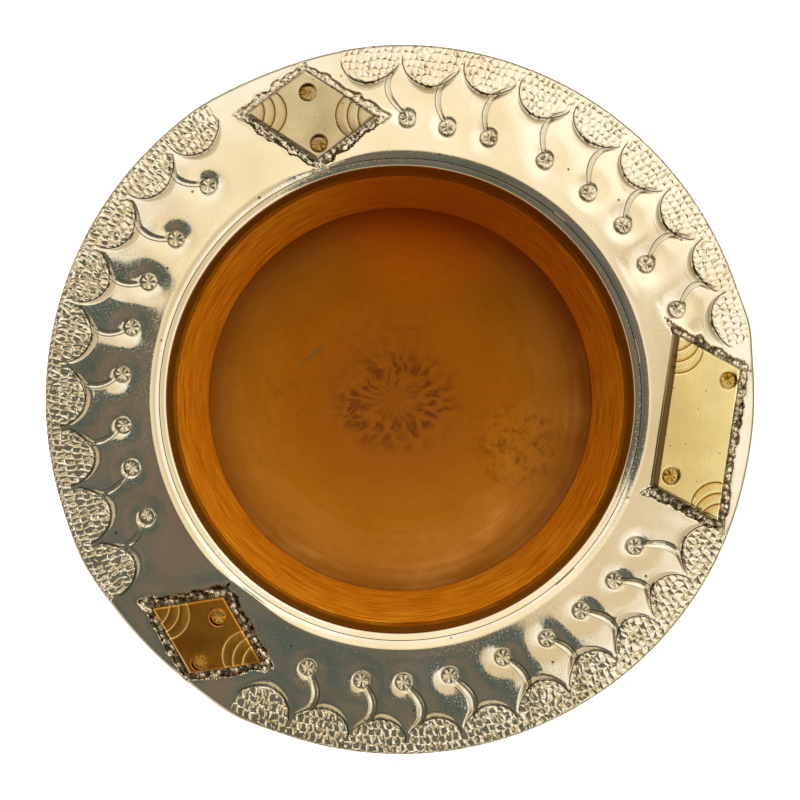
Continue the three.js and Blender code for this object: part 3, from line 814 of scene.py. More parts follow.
def brim_outline():
    joint = SLEEVE_OUTER + JOINT_LINE
    lip = np.linspace(joint, CREST_RADIUS, 7)[:-1]
    plain = np.arange(CREST_RADIUS, ROSETTE_BAND, PLAIN_ROW)
    rosettes = np.arange(ROSETTE_BAND, OUTER_BAND, ROSETTE_ROW)
    outer = np.arange(OUTER_BAND, RIM_RADIUS - 0.28, OUTER_ROW)
    top = np.concatenate([lip, plain, rosettes, outer])
    upper = [(r, float(rim_top(r))) for r in top.tolist()]
    low = float(rim_top(RIM_RADIUS))
    edge = [(RIM_RADIUS - 0.1, low - 0.1), (RIM_RADIUS, low - SHEET / 2),
            (RIM_RADIUS - 0.12, low - SHEET + 0.08)]
    under = [(r, float(rim_top(r)) - SHEET) for r in (RIM_RADIUS - 0.4, *UNDER_ROWS, joint)]
    return upper + edge + under + upper[:1]


def make_brim(plates):
    brim = turned("chased_brim", brim_outline(), BRIM_COLUMNS)
    points = places(brim)
    radius, theta = polar(points)
    outward = np.clip((radius - CREST_RADIUS) / FLANGE_WIDTH, 0, 1)
    shift = bumps(theta, EDGE_SHIFTS) * outward ** 3
    crest = smooth(radius, JOINT_RADIUS, CREST_RADIUS)
    crest *= 1 - smooth(radius, CREST_RADIUS, CREST_RADIUS + 3)
    shift += bumps(theta, CREST_DENTS) * crest * CREST_DENT_SHARE
    upper = points[:, 2] > rim_top(radius) - 0.3
    points[:, :2] *= (1 + shift / radius)[:, None]
    relief = chase(points[upper, 0], points[upper, 1], plates)
    fade = smooth(RIM_RADIUS - radius[upper], 0.0, 0.3)
    points[upper, 2] += relief.height * (0.25 + 0.75 * fade)
    set_places(brim, points)
    # Painted shade: a thin dark line along the brim's outer edge.
    relief.soil_and_shade(slice(None), EDGE_SHADE * smooth(radius[upper], RIM_RADIUS - 0.3, RIM_RADIUS - 0.1))
    for name in ("matting", "patina_and_shade", "border", "punch", "marks", "cuts", "line_strengths"):
        found = getattr(relief, name)
        values = np.zeros((len(points), *found.shape[1:]))
        values[upper] = found
        set_attribute(brim, name, values)
    sharpen(brim, 60)
    return brim


def plate_insets(reach, slope, count):
    """Shares of the half side for a plate's rows: under it, up its wall, over its edge or slope, across."""
    high = [0.0, 0.0, 0.03, 0.1, PLATE_ROUNDING]
    low = [0.0, 0.0, 0.03, slope - 0.03, slope + 0.03] if slope else high
    across = np.linspace(-reach + low[-1], reach - high[-1], count - 7)
    before = [-reach + inset for inset in low[:-1]]
    after = [reach - inset for inset in high[-2::-1]]
    return np.array(before + across.tolist() + after) / reach


def plate_marks(plate, x, y):
    """Gouges at the sharp corners and rosettes near the blunt ones, as a relief."""
    relief = Relief(x, y)
    offset = np.stack([x, y], axis=1) - plate.middle
    for number, place in enumerate(plate.rosettes):
        outward = plate.middle + place
        outward /= np.linalg.norm(outward)
        ry = (offset - place) @ outward
        rx = (offset - place) @ np.array([outward[1], -outward[0]])
        rise, dirt = rosette_relief(rx, ry, PLATE_ROSETTE_TURN + number, 1)
        relief.height += rise
        relief.patina_and_shade = np.maximum(relief.patina_and_shade, dirt)
        relief.punch = punch_places(relief.punch, rx, ry, PLATE_ROSETTE_TURN + number)
    for corner in (plate.sharp, -plate.sharp):
        inward = -corner / np.linalg.norm(corner)
        for reach in PLATE_GOUGE_REACHES:
            # an arc whose crown faces the plate's middle
            spoke = offset - corner - inward * (reach - PLATE_GOUGE_RADIUS)
            away = np.linalg.norm(spoke, axis=1)
            facing = spoke @ inward / np.maximum(away, 0.1)
            gap = away - PLATE_GOUGE_RADIUS
            crown = smooth(facing, 0.1, 0.9)
            width = PLATE_GOUGE_WIDTH * np.maximum(crown, 0.01)
            groove = crown * np.clip(np.minimum(1 + gap / width, 1 - gap / PLATE_GOUGE_WALL), 0, 1)
            relief.height -= PLATE_GOUGE_DEPTH * groove
            relief.fill = np.maximum(relief.fill, groove ** 2)
            closer = np.abs(gap) < np.abs(relief.cuts[:, 2])
            relief.cuts[closer, 2] = gap[closer]
            relief.line_strengths[closer, 2] = smooth(facing, 0.1, 0.5)[closer]
    return relief


def make_plate(name, plate, seed):
    """A lozenge that follows the brim, with a rounded edge and, on one, a filed slope."""
    across, along = PLATE_CELLS
    piece, u, v = grid(name, across, along)
    slope = PLATE_SLOPE if plate.sloped is not None else 0.0
    rows_u = plate_insets(plate.reach[0], slope, across + 1)
    rows_v = plate_insets(plate.reach[1], 0.0, along + 1)
    iu, iv = np.rint(u * across).astype(int), np.rint(v * along).astype(int)
    flat = plate.sides @ np.stack([rows_u[iu], rows_v[iv]]) + plate.middle[:, None]
    x, y = flat
    ring = np.minimum(np.minimum(iu, across - iu), np.minimum(iv, along - iv))
    whole = PLATE_THICKNESS + CLEARANCE
    drop = np.array([whole, whole, *PLATE_EDGE_DROPS])
    edge = np.where(ring < 4, drop[np.minimum(ring, 3)], 0)
    if slope:
        inset = (rows_u[iu] + 1) * plate.reach[0]
        edge = np.maximum(edge, PLATE_SLOPE_DROP * np.clip(1 - inset / slope, 0, 1) * (ring > 1))
    relief = plate_marks(plate, x, y)
    if slope:
        flat_part = (inset > slope).astype(float)
        relief.height *= flat_part
        relief.line_strengths *= flat_part[:, None]
        relief.fill *= flat_part
        # The filed slope is painted dark all over: painted shade.
        relief.patina_and_shade = np.maximum(relief.patina_and_shade * flat_part, PLATE_SLOPE_SHADE * (1 - flat_part))
    worn = np.random.default_rng(seed)
    dish = PLATE_DISH * hand_waves(x * 0.8, y * 0.8, int(worn.integers(1000)))
    z = rim_top(np.hypot(x, y)) + CLEARANCE + PLATE_THICKNESS - edge + (relief.height + dish) * (ring > 2)
    under = ring == 0
    x, y = np.where(under, plate.middle[0], x), np.where(under, plate.middle[1], y)
    z = np.where(under, rim_top(np.hypot(*plate.middle)) + 0.02, z)
    set_places(piece, np.stack([x, y, z], axis=1))
    # Painted shade: the plate's edge rows are darkened.
    relief.patina_and_shade = np.where(ring < 3, EDGE_SHADE, relief.patina_and_shade)
    for name in ("patina_and_shade", "fill", "punch", "cuts", "line_strengths"):
        set_attribute(piece, name, getattr(relief, name))
    close_up(piece)
    sharpen(piece, 36)
    return piece


def make_sleeve():
    """The ring that lines the mouth, with a flat bead at its top that leans inwards."""
    top = float(rim_top(SLEEVE_OUTER)) - 0.04
    bead = [(MOUTH_RADIUS + out, top - down) for out, down in SLEEVE_BEAD]
    inner = [(MOUTH_RADIUS, height) for height in (SLEEVE_FOOT + 0.15, *SLEEVE_ROWS, top - 1.6)]
    outer = [(SLEEVE_OUTER - 0.06, top), (SLEEVE_OUTER, top - 0.15), (SLEEVE_OUTER, SLEEVE_FOOT + 0.1)]
    foot = [(SLEEVE_OUTER - 0.1, SLEEVE_FOOT), (MOUTH_RADIUS + 0.12, SLEEVE_FOOT)]
    outline = inner + bead + outer + foot
    lining = turned("mouth_lining", outline + outline[:1])
    sharpen(lining, 40)
    return lining


def make_collar():
    """The band under the brim, with a rolled bead at its lower edge."""
    middle = COLLAR_FOOT + COLLAR_BEAD
    bead = [(COLLAR_OUTER + COLLAR_BEAD * math.cos(turn), middle + COLLAR_BEAD * math.sin(turn))
            for turn in np.linspace(-math.pi / 2, math.pi / 2, COLLAR_BEAD_STEPS + 1).tolist()]
    top = float(rim_top(COLLAR_OUTER)) - SHEET - 0.02
    ring = [(COLLAR_OUTER + out, COLLAR_FOOT + up) for out, up in COLLAR_RING]
    upper = [(COLLAR_OUTER, top - 1.2), (COLLAR_OUTER + 0.25, top - 0.45), (COLLAR_OUTER + 0.8, top)]
    outline = [(COLLAR_INNER, COLLAR_FOOT)] + bead + ring + upper + [(COLLAR_INNER, top)]
    return turned("neck_collar", outline + outline[:1])


def make_gourd():
    """The shell: hand-turned inside, with a slightly uneven floor."""
    outline = gourd_outside() + gourd_inside()[::-1]
    gourd = turned("gourd_shell", outline, GOURD_STEPS)
    points = places(gourd)
    radius, _ = polar(points)
    inside = (points[:, 2] < RIDGE_HEIGHT) & (points[:, 2] > FLOOR_HEIGHT - 0.5)
    inside &= radius < BOWL_RADIUS + 0.2
    wave = hand_waves(points[:, 0] * 0.7, points[:, 1] * 0.7, FLOOR_WAVE_SEED)
    near, far = FLOOR_WAVE_REACH
    points[:, 2] += np.where(inside, FLOOR_WAVE * wave * smooth(-radius, -far, -near), 0)
    set_places(gourd, points)
    sharpen(gourd, 35)
    return gourd


def seam_heights():
    return np.linspace(FOOT_HEIGHT + STITCH_MARGIN, COLLAR_FOOT - STITCH_MARGIN, STITCH_COUNT)


def make_cover():
    """The leather skin, open along a seam at the back and drawn together by the stitches."""
    outside = skin(CLEARANCE + LEATHER, COVER_HOLE_RADIUS)
    inside = skin(CLEARANCE, COVER_HOLE_RADIUS)
    gap = SEAM_GAP / NECK_RADIUS
    cover = turned("leather_cover_skin", outside + inside[::-1] + outside[:1], COVER_STEPS, math.tau - gap)
    points = places(cover)
    radius, theta = polar(points)
    theta = theta % math.tau
    turn = theta - (math.tau - gap) / 2  # from the front, so the seam is at the two ends
    ends = math.pi - gap / 2 - np.abs(turn)
    along_seam = ends * radius
    around = theta + gap / 2 + math.pi / 2
    # the screw's first column is the seam's one lip, its last column the other
    curl, curl_width = SEAM_LIP
    lift = curl * np.exp(-(along_seam / curl_width) ** 2)
    for height in seam_heights():
        rise = points[:, 2] - height
        apart = (along_seam - STITCH_SPAN / 2) ** 2 + rise ** 2
        lift -= STITCH_PULL * np.exp(-apart / STITCH_REACH ** 2)
        run = smooth(-along_seam, -STITCH_SPAN / 2, -0.5)
        lift -= STITCH_PRESS * np.exp(-(rise / STITCH_REACH) ** 2) * run
    wave = hand_waves(points[:, 2] * 0.6, theta * 25, COVER_WAVE_SEED)
    lift += COVER_WAVE * wave * smooth(along_seam, 0, 4)
    lift *= smooth(points[:, 2], *COVER_FREE_FOOT) * (1 - smooth(points[:, 2], *COVER_FREE_NECK))
    radius = radius + lift
    points[:, 0] = radius * np.cos(around)
    points[:, 1] = radius * np.sin(around)
    set_places(cover, points)
    bpy.ops.object.mode_set(mode="EDIT")
    bpy.ops.mesh.select_mode(type="EDGE")
    bpy.ops.mesh.select_all(action="DESELECT")
    bpy.ops.mesh.select_non_manifold(extend=False, use_wire=False, use_multi_face=False,
                                     use_non_contiguous=False, use_verts=False)
    bpy.ops.mesh.edge_face_add()
    bpy.ops.mesh.select_mode(type="VERT")
    close_up(cover)
    sharpen(cover, 50)
    return cover


def stitch_path():
    half, bend, rise = STITCH_SPAN / 2, STITCH_SPAN / 2 - THREAD_RADIUS, THREAD_RADIUS + CLEARANCE
    knots = np.array([(-half, -STITCH_DEPTH), (-half, 0), (-bend, rise), (0, rise + THREAD_RADIUS / 2),
                      (bend, rise), (half, 0), (half, -STITCH_DEPTH)])
    fine = np.linspace(0, len(knots) - 1, THREAD_STEPS + 1)
    return np.stack([smooth_through(knots[:, i], fine) for i in (0, 1)], axis=1)


def smooth_through(values, places_along):
    """Catmull-Rom curve through values at 0, 1, 2 and so on."""
    padded = np.concatenate([[2 * values[0] - values[1]], values, [2 * values[-1] - values[-2]]])
    start = np.minimum(places_along.astype(int), len(values) - 2)
    t = places_along - start
    a, b, c, d = (padded[start + i] for i in range(4))
    bend = 2 * a - 5 * b + 4 * c - d
    twist = 3 * b - a - 3 * c + d
    return 0.5 * (2 * b + (c - a) * t + bend * t ** 2 + twist * t ** 3)


def make_thread():
    """One stitch of waxed thread, two strands laid together, in its own frame."""
    piece, u, v = grid("seam_thread", THREAD_STEPS, THREAD_SIDES)
    path = stitch_path()
    tangent = np.gradient(path, axis=0)
    tangent /= np.hypot(tangent[:, 0], tangent[:, 1])[:, None]
    run = np.concatenate([[0], np.cumsum(np.hypot(*np.diff(path, axis=0).T))])
    i = np.rint(u * THREAD_STEPS).astype(int)
    around = v * math.tau
    strands = np.abs(np.cos(around - math.tau * run[i] / THREAD_LAY / 2))
    radius = THREAD_RADIUS * (0.72 + 0.28 * strands) * ((i > 0) & (i < THREAD_STEPS))
    x = path[i, 0] - tangent[i, 1] * radius * np.cos(around)
    z = path[i, 1] + tangent[i, 0] * radius * np.cos(around)
    y = radius * np.sin(around)
    set_places(piece, np.stack([x, y, z], axis=1))
    return close_up(piece)


def make_stitches(material):
    """Copies of the one stitch, each across the seam at its own height."""
    outside = skin(CLEARANCE + LEATHER, COVER_HOLE_RADIUS)
    thread = make_thread()
    for number, height in enumerate(seam_heights().tolist(), start=1):
        above = radius_at(outside, height + THREAD_RADIUS)
        below = radius_at(outside, height - THREAD_RADIUS)
        up = Vector((0, above - below, 2 * THREAD_RADIUS)).normalized()
        across = Vector((-1, 0, 0))
        out = across.cross(up)
        place = Matrix((across, up, out)).transposed().to_4x4()
        place.translation = Vector((0, radius_at(outside, height), height)) * MM
        pick(thread)
        bpy.ops.object.duplicate()
        copy = bpy.context.object
        copy.name = copy.data.name = f"seam_thread_{number:02d}"
        copy.data.transform(place)
        fitted(copy, material, "waxed_thread", f"seam_stitch_{number:02d}")
    bpy.data.objects.remove(thread)


def foot_outer():
    seat = skin(CLEARANCE + LEATHER + CLEARANCE, COVER_HOLE_RADIUS)
    return radius_at(seat, FOOT_HEIGHT) + FOOT_WALL + FOOT_FLARE


def make_foot_ring():
    """The leather ring the gourd stands in, with burnished edges and two creased lines."""
    outer = foot_outer()
    top = outer - FOOT_FLARE
    opening = outer - FOOT_RIM
    ledge = opening - SOLE_LEDGE
    seat = skin(CLEARANCE + LEATHER + CLEARANCE, ledge)
    lining = [(r, z) for r, z in seat if z < FOOT_HEIGHT - 0.3][::-1]
    side = []
    for row, part in enumerate(np.linspace(0.06, 0.94, FOOT_ROWS).tolist()):
        radius = outer + (top - outer) * part - FOOT_HOLLOW * math.sin(math.pi * part)
        crease = FOOT_CREASE if row in FOOT_CREASE_ROWS else 0
        side.append((radius - crease, FOOT_EDGE + (FOOT_HEIGHT - 2 * FOOT_EDGE) * part))
    bottom = [(opening, 0.15), (opening + 0.15, 0), (outer - FOOT_EDGE, 0), (outer - 0.3, 0.2),
              (outer - 0.05, 0.6)]
    edge = [(top - 0.05, FOOT_HEIGHT - 0.6), (top - 0.3, FOOT_HEIGHT - 0.15), (top - FOOT_EDGE, FOOT_HEIGHT),
            (top - FOOT_WALL, FOOT_HEIGHT - 0.05)]
    seat_height = SOLE_THICKNESS + CLEARANCE
    outline = bottom + side + edge + lining + [(ledge, seat_height), (opening, seat_height)]
    return turned("foot_band", outline + outline[:1])


def make_sole():
    """The leather disc under the foot, with a worn rounded edge."""
    radius = foot_outer() - FOOT_RIM - CLEARANCE
    outline = [(0, 0.15), (radius * 0.6, 0.1), (radius - 1.2, 0.02), (radius - 0.4, 0.12),
               (radius - 0.05, 0.5), (radius, SOLE_THICKNESS - 0.1), (radius - 0.1, SOLE_THICKNESS),
               (0, SOLE_THICKNESS)]
    return turned("foot_disc", outline)


# Materials

MIX_A, MIX_B, MIX_RESULT = 6, 7, 2  # colour sockets of a Mix node
METAL_GRIME_AND_SHADE = "#3C2F20"
LINING_EDGE_TINT = "#B0AAA8"  # edge tint of the lining's mirroring, which darkens it where it is seen along its wall
LINING_DARK_TOP = (106.2, 107.0)  # heights between which the lining's darker brown wall ends
BRASS_GRIME_AND_SHADE = "#4E2A04"
PETAL_HEIGHT = 0.3
FLOOR_SHADE = (14, 20)  # above the floor, where its marks fade out


def add(tree, kind, inputs=(), stops=(), **settings):
    """Adds a shader node.

    Inputs go by order or by name. Each is a value, a socket, or a node that feeds its first output.
    Stops fill a colour ramp.
    """
    new = tree.nodes.new("ShaderNode" + kind)
    for name, value in settings.items():
        setattr(new, name, value)
    named = inputs if isinstance(inputs, dict) else dict(enumerate(inputs))
    for key, value in named.items():
        feed = value.outputs[0] if isinstance(value, bpy.types.Node) else value
        if isinstance(feed, bpy.types.NodeSocket):
            tree.links.new(feed, new.inputs[key])
        else:
            new.inputs[key].default_value = feed
    for i, (place, code) in enumerate(stops):
        elements = new.color_ramp.elements
        element = elements[i] if i < 2 else elements.new(place)
        element.position = place
        element.color = srgb(code)
    return new


def blank(name):
    material = bpy.data.materials.new(name)
    material.use_nodes = True
    material.node_tree.nodes.clear()
    return material, material.node_tree


def petals(tree):
    """The rosette punch's petals, from each point's place on the punch: grime, height and struck field."""
    place = add(tree, "Attribute", attribute_name="punch").outputs["Vector"]
    x, y, on = add(tree, "SeparateXYZ", [place]).outputs
    flat = add(tree, "CombineXYZ", [x, y])
    away = add(tree, "VectorMath", [flat], operation="LENGTH").outputs["Value"]
    around = add(tree, "Math", [y, x], operation="ARCTAN2")
    share = add(tree, "Math", [around, ROSETTE_PETALS / math.tau], operation="MULTIPLY")
    fold = add(tree, "Math", [share, 0.5], operation="PINGPONG")
    line = add(tree, "MapRange", [fold, 0, 0.2, 0.85, 0])
    inside = add(tree, "MapRange", [away, ROSETTE_RADIUS - 0.2, ROSETTE_RADIUS - 0.08, 1, 0])
    field = add(tree, "Math", [inside, on], operation="MULTIPLY")
    off = add(tree, "Math", [away, ROSETTE_RADIUS - 0.08], operation="SUBTRACT")
    gap = add(tree, "Math", [off], operation="ABSOLUTE")
    ring = add(tree, "MapRange", [gap, 0, 0.13, 0.32, 0])
    struck = add(tree, "Math", [ring, on], operation="MULTIPLY")
    grime = add(tree, "Math", [line, field, struck], operation="MULTIPLY_ADD")
    swell = add(tree, "MapRange", [away, 0, 0.6])
    swollen = add(tree, "Math", [fold, swell], operation="MULTIPLY")
    raised = add(tree, "Math", [swollen, field], operation="MULTIPLY")
    height = add(tree, "Math", [raised, struck], operation="SUBTRACT")
    return grime, height, field


def chased_lines(tree, amounts):
    """Grime in the cut lines, from each point's distance to them and their depth."""
    found = [add(tree, "Attribute", attribute_name=name).outputs["Vector"] for name in ("cuts", "line_strengths")]
    away, depth = (add(tree, "SeparateXYZ", [vector]) for vector in found)
    cuts = []
    for line, amount in amounts.items():
        gap = add(tree, "Math", [away.outputs[line]], operation="ABSOLUTE")
        fill = add(tree, "MapRange", [gap, CUT_LINE * 0.3, CUT_LINE, amount, 0])
        cuts.append(add(tree, "Math", [fill, depth.outputs[line]], operation="MULTIPLY"))
    deepest, *others = cuts
    for cut in others:
        deepest = add(tree, "Math", [deepest, cut], operation="MAXIMUM")
    return deepest


def punch_marks(tree, coords):
    """Depth of the matting punch's wedge-shaped marks, in marks. They lie in lines round the rim."""
    place = add(tree, "Attribute", attribute_name="marks").outputs["Vector"]
    wander = add(tree, "TexNoise", {"Vector": coords, "Scale": per_mm(1.8), "Detail": 1.0}).outputs["Color"]
    bent = add(tree, "VectorMath", [wander, (1.1, 1.2, 0.0), place], operation="MULTIPLY_ADD")
    x, y, _ = add(tree, "SeparateXYZ", [bent]).outputs
    line = add(tree, "Math", [y], operation="FLOOR")
    up = add(tree, "Math", [y], operation="FRACT")
    shifted = add(tree, "Math", [line, MARK_SHIFT, x], operation="MULTIPLY_ADD")
    off = add(tree, "Math", [shifted, 0.5], operation="PINGPONG")
    half = add(tree, "Math", [up, -0.26, 0.46], operation="MULTIPLY_ADD")
    beside = add(tree, "Math", [half, off], operation="SUBTRACT")
    side = add(tree, "Math", [beside, 0], operation="MAXIMUM")
    within = add(tree, "Math", [y, 0.5], operation="PINGPONG")
    foot = add(tree, "Math", [within, 1.2], operation="MULTIPLY")
    return add(tree, "Math", [side, foot], operation="MINIMUM")


def nickel_silver(name, chased, dark_lining=None):
    """Nickel silver sheet, hammered, chased and polished by hand.

    It mirrors the room with a slight warm tint; the eye sees a sandy polish full of tiny dents, short
    scratches, and brown grime left in the chased lines, with painted shade in places. In the mouth its
    wall is darker brown.
    """
    material, tree = blank(name)
    coords = add(tree, "TexCoord").outputs["Object"]
    sand = add(tree, "TexNoise", {"Vector": coords, "Scale": per_mm(0.2), "Detail": 2.0, "Roughness": 0.6})
    dents = add(tree, "MapRange", [sand, 0.55, 0.78])
    cloud = add(tree, "TexNoise", {"Vector": coords, "Scale": per_mm(9), "Detail": 4.0})
    # Scratches, coarser than real ones, which would be too fine to show.
    stretch = add(tree, "Mapping", {"Vector": coords, "Rotation": (0, 0, 0.7), "Scale": (1.0, 0.06, 1.0)})
    lines = add(tree, "TexNoise", {"Vector": stretch, "Scale": per_mm(0.3), "Detail": 2.0})
    colour = add(tree, "ValToRGB", [cloud], [(0.3, "#F2EADA"), (0.75, "#E6D9BE")])
    rough = add(tree, "MapRange", [dents, 0, 1, 0.04, 0.45])
    grain = add(tree, "Math", [dents, -1.0, lines], operation="MULTIPLY_ADD")
    normal = add(tree, "Bump", {"Height": grain, "Strength": 0.2, "Distance": 0.02 * MM})
    if chased:
        # The patina layer holds brown grime and painted shade: in the scallops' bevels, round one side of
        # each rosette, beside the plates and along the brim's edge.
        patina_and_shade, matting, border = (add(tree, "Attribute", attribute_name=layer).outputs["Fac"]
                                   for layer in ("patina_and_shade", "matting", "border"))
        spots = add(tree, "TexVoronoi", {"Vector": coords, "Scale": per_mm(4.5)})
        specks = add(tree, "MapRange", [spots, 0.035, 0.06, 0.8, 0])
        force = add(tree, "TexNoise", {"Vector": coords, "Scale": per_mm(2.2), "Detail": 1.0})
        blow = add(tree, "MapRange", [force, 0.36, 0.6, 0.55, 1])
        struck = add(tree, "Math", [matting, blow], operation="MULTIPLY")
        marks = punch_marks(tree, coords)
        dent = add(tree, "Math", [marks, struck], operation="MULTIPLY")
        valley = add(tree, "MapRange", [marks, 0.16, 0.34, 0, 0.5])
        deep = add(tree, "Math", [valley, struck], operation="MULTIPLY")
        lumps = add(tree, "TexVoronoi", {"Vector": coords, "Scale": per_mm(0.8)})
        pit = add(tree, "Math", [lumps, border], operation="MULTIPLY")
        black = add(tree, "MapRange", [pit, 0.44, 0.72, 0, 0.85])
        star, lobes, _ = petals(tree)
        cuts = chased_lines(tree, {"X": 0.97, "Y": 0.4, "Z": 0.8})
        dirt = patina_and_shade
        for more in (star, cuts, specks, deep, black):
            dirt = add(tree, "Math", [dirt, more], operation="MAXIMUM")
        grime_and_shade_mix = add(tree, "Mix", {0: dirt, MIX_A: colour, MIX_B: srgb(METAL_GRIME_AND_SHADE)}, data_type="RGBA")
        colour = grime_and_shade_mix.outputs[MIX_RESULT]
        rough = add(tree, "Math", [dirt, 0.3, rough], operation="MULTIPLY_ADD")
        struck_forms = ((dent, MARK_SLOPE, True), (pit, LUMP_HEIGHT, True), (lobes, PETAL_HEIGHT, False))
        for height, distance, inward in struck_forms:
            normal = add(tree, "Bump", {"Height": height, "Strength": 1.0, "Distance": distance * MM,
                                        "Normal": normal}, invert=inward)
    inputs = {"Metallic": 1.0, "Roughness": rough, "Normal": normal}
    if dark_lining:
        up = add(tree, "SeparateXYZ", [coords]).outputs["Z"]
        depth = add(tree, "MapRange", [up, LINING_DARK_TOP[0] * MM, LINING_DARK_TOP[1] * MM, 1, 0])
        darker_lining = add(tree, "Mix", {0: depth, MIX_A: colour, MIX_B: srgb(dark_lining)}, data_type="RGBA")
        colour = darker_lining.outputs[MIX_RESULT]
        inputs["Specular Tint"] = srgb(LINING_EDGE_TINT)
    shader = add(tree, "BsdfPrincipled", {"Base Color": colour, **inputs})
    add(tree, "OutputMaterial", [shader])
    return material


def brass(name, bright, dull, struck, line, roughness):
    """Sheet brass, filed flat and rubbed with fine paper: satin gold, faint file lines and brown marks.

    Its gouges, petals and edges carry painted light and shade.
    """
    material, tree = blank(name)
    coords = add(tree, "TexCoord").outputs["Object"]
    cloud = add(tree, "TexNoise", {"Vector": coords, "Scale": per_mm(5), "Detail": 5.0})
    # File lines, coarser than real ones, which would be too fine to show.
    stretch = add(tree, "Mapping", {"Vector": coords, "Rotation": (0, 0, 1.1), "Scale": (1.0, 0.08, 1.0)})
    lines = add(tree, "TexNoise", {"Vector": stretch, "Scale": per_mm(0.35), "Detail": 2.0})
    pits = add(tree, "TexVoronoi", {"Vector": coords, "Scale": per_mm(1.6)})
    specks = add(tree, "MapRange", [pits, 0.06, 0.1, 0.6, 0])
    # The patina layer holds brown grime and painted shade: on the plates' edges, over the filed slope and
    # round one side of each rosette.
    patina_and_shade, fill = (add(tree, "Attribute", attribute_name=layer).outputs["Fac"]
                    for layer in ("patina_and_shade", "fill"))
    star, lobes, field = petals(tree)
    colour = add(tree, "ValToRGB", [cloud], [(0.3, bright), (0.7, dull)])
    dirt = patina_and_shade
    for more in (star, specks):
        dirt = add(tree, "Math", [dirt, more], operation="MAXIMUM")
    # The struck colour fills the petals and gouges, and the line colour draws the gouges' crowns: painted
    # light and shade.
    gold = add(tree, "Math", [field, fill], operation="MAXIMUM")
    gouges = chased_lines(tree, {"Z": 0.95})
    for share, over in ((gold, struck), (dirt, BRASS_GRIME_AND_SHADE), (gouges, line)):
        mix = add(tree, "Mix", {0: share, MIX_A: colour, MIX_B: srgb(over)}, data_type="RGBA")
        colour = mix.outputs[MIX_RESULT]
    rough = add(tree, "MapRange", [lines, 0, 1, roughness - 0.1, roughness + 0.1])
    rubbed = add(tree, "Bump", {"Height": lines, "Strength": 0.5, "Distance": 0.02 * MM})
    bump = add(tree, "Bump", {"Height": lobes, "Strength": 1.0, "Distance": PETAL_HEIGHT * MM,
                              "Normal": rubbed})
    shader = add(tree, "BsdfPrincipled", {"Base Color": colour, "Metallic": 1.0, "Roughness": rough,
                                          "Normal": bump})
    add(tree, "OutputMaterial", [shader])
    return material


def spot(tree, coords, place, radius, soft, strength=1.0):
    """A strength near an upright line through a place, easing to 0 from radius to radius + soft, in mm."""
    flat = add(tree, "Mapping", {"Vector": coords, "Scale": (1.0, 1.0, 0.0)})
    centre = (place[0] * MM, place[1] * MM, 0)
    away = add(tree, "VectorMath", [flat, centre], operation="DISTANCE").outputs["Value"]
    return add(tree, "MapRange", [away, radius * MM, (radius + soft) * MM, strength, 0],
               interpolation_type="SMOOTHSTEP")


def flower_scar(tree, coords):
    """Short dark strokes that run out from the scar of the flower, as on the floor of the gourd."""
    flat = add(tree, "Mapping", {"Vector": coords, "Scale": (1.0, SCAR_STRETCH, 0.0)})
    centre = (SCAR_PLACE[0] * MM, SCAR_PLACE[1] * SCAR_STRETCH * MM, 0)
    arm = add(tree, "VectorMath", [flat, centre], operation="SUBTRACT")
    x, y, _ = add(tree, "SeparateXYZ", [arm]).outputs
    turn = add(tree, "Math", [y, x], operation="ARCTAN2")
    away = add(tree, "VectorMath", [arm], operation="LENGTH").outputs["Value"]
    column = add(tree, "Math", [turn, SCAR_STROKES / math.tau], operation="MULTIPLY")
    row = add(tree, "Math", [away, per_mm(SCAR_STROKE_LENGTH)], operation="MULTIPLY")
    place = add(tree, "CombineXYZ", [column, row])
    wander = add(tree, "TexNoise", {"Vector": coords, "Scale": per_mm(3.4), "Detail": 4.0}).outputs["Color"]
    bent = add(tree, "VectorMath", [wander, (3.6, 2.4, 0.0), place], operation="MULTIPLY_ADD")
    dashes = add(tree, "TexVoronoi", {"Vector": bent, "Scale": 1.0, "Randomness": 0.85},
                 voronoi_dimensions="2D")
    dark = add(tree, "MapRange", [dashes, 0.14, 0.55, 1, 0])
    reach = add(tree, "MapRange", [away, SCAR_RADIUS * 0.65 * MM, SCAR_RADIUS * MM, 1, 0])
    heart = add(tree, "MapRange", [away, 1.5 * MM, 6.0 * MM, 0.25, 1])
    field = add(tree, "Math", [reach, heart], operation="MULTIPLY")
    return add(tree, "Math", [dark, field], operation="MULTIPLY")


def scratch(tree, coords):
    """1 along the one long scratch on the floor."""
    start, end = (Vector((*place, 0)) * MM for place in SCRATCH_ENDS)
    along = (end - start).normalized()
    beside = Vector((-along.y, along.x, 0))
    arm = add(tree, "VectorMath", [coords, (start + end) / 2], operation="SUBTRACT")
    masks = []
    for axis, half in ((along, (end - start).length / 2), (beside, SCRATCH_WIDTH / 2 * MM)):
        run = add(tree, "VectorMath", [arm, axis], operation="DOT_PRODUCT").outputs["Value"]
        off = add(tree, "Math", [run], operation="ABSOLUTE")
        masks.append(add(tree, "MapRange", [off, half * 0.6, half, 1, 0]))
    return add(tree, "Math", masks, operation="MULTIPLY")


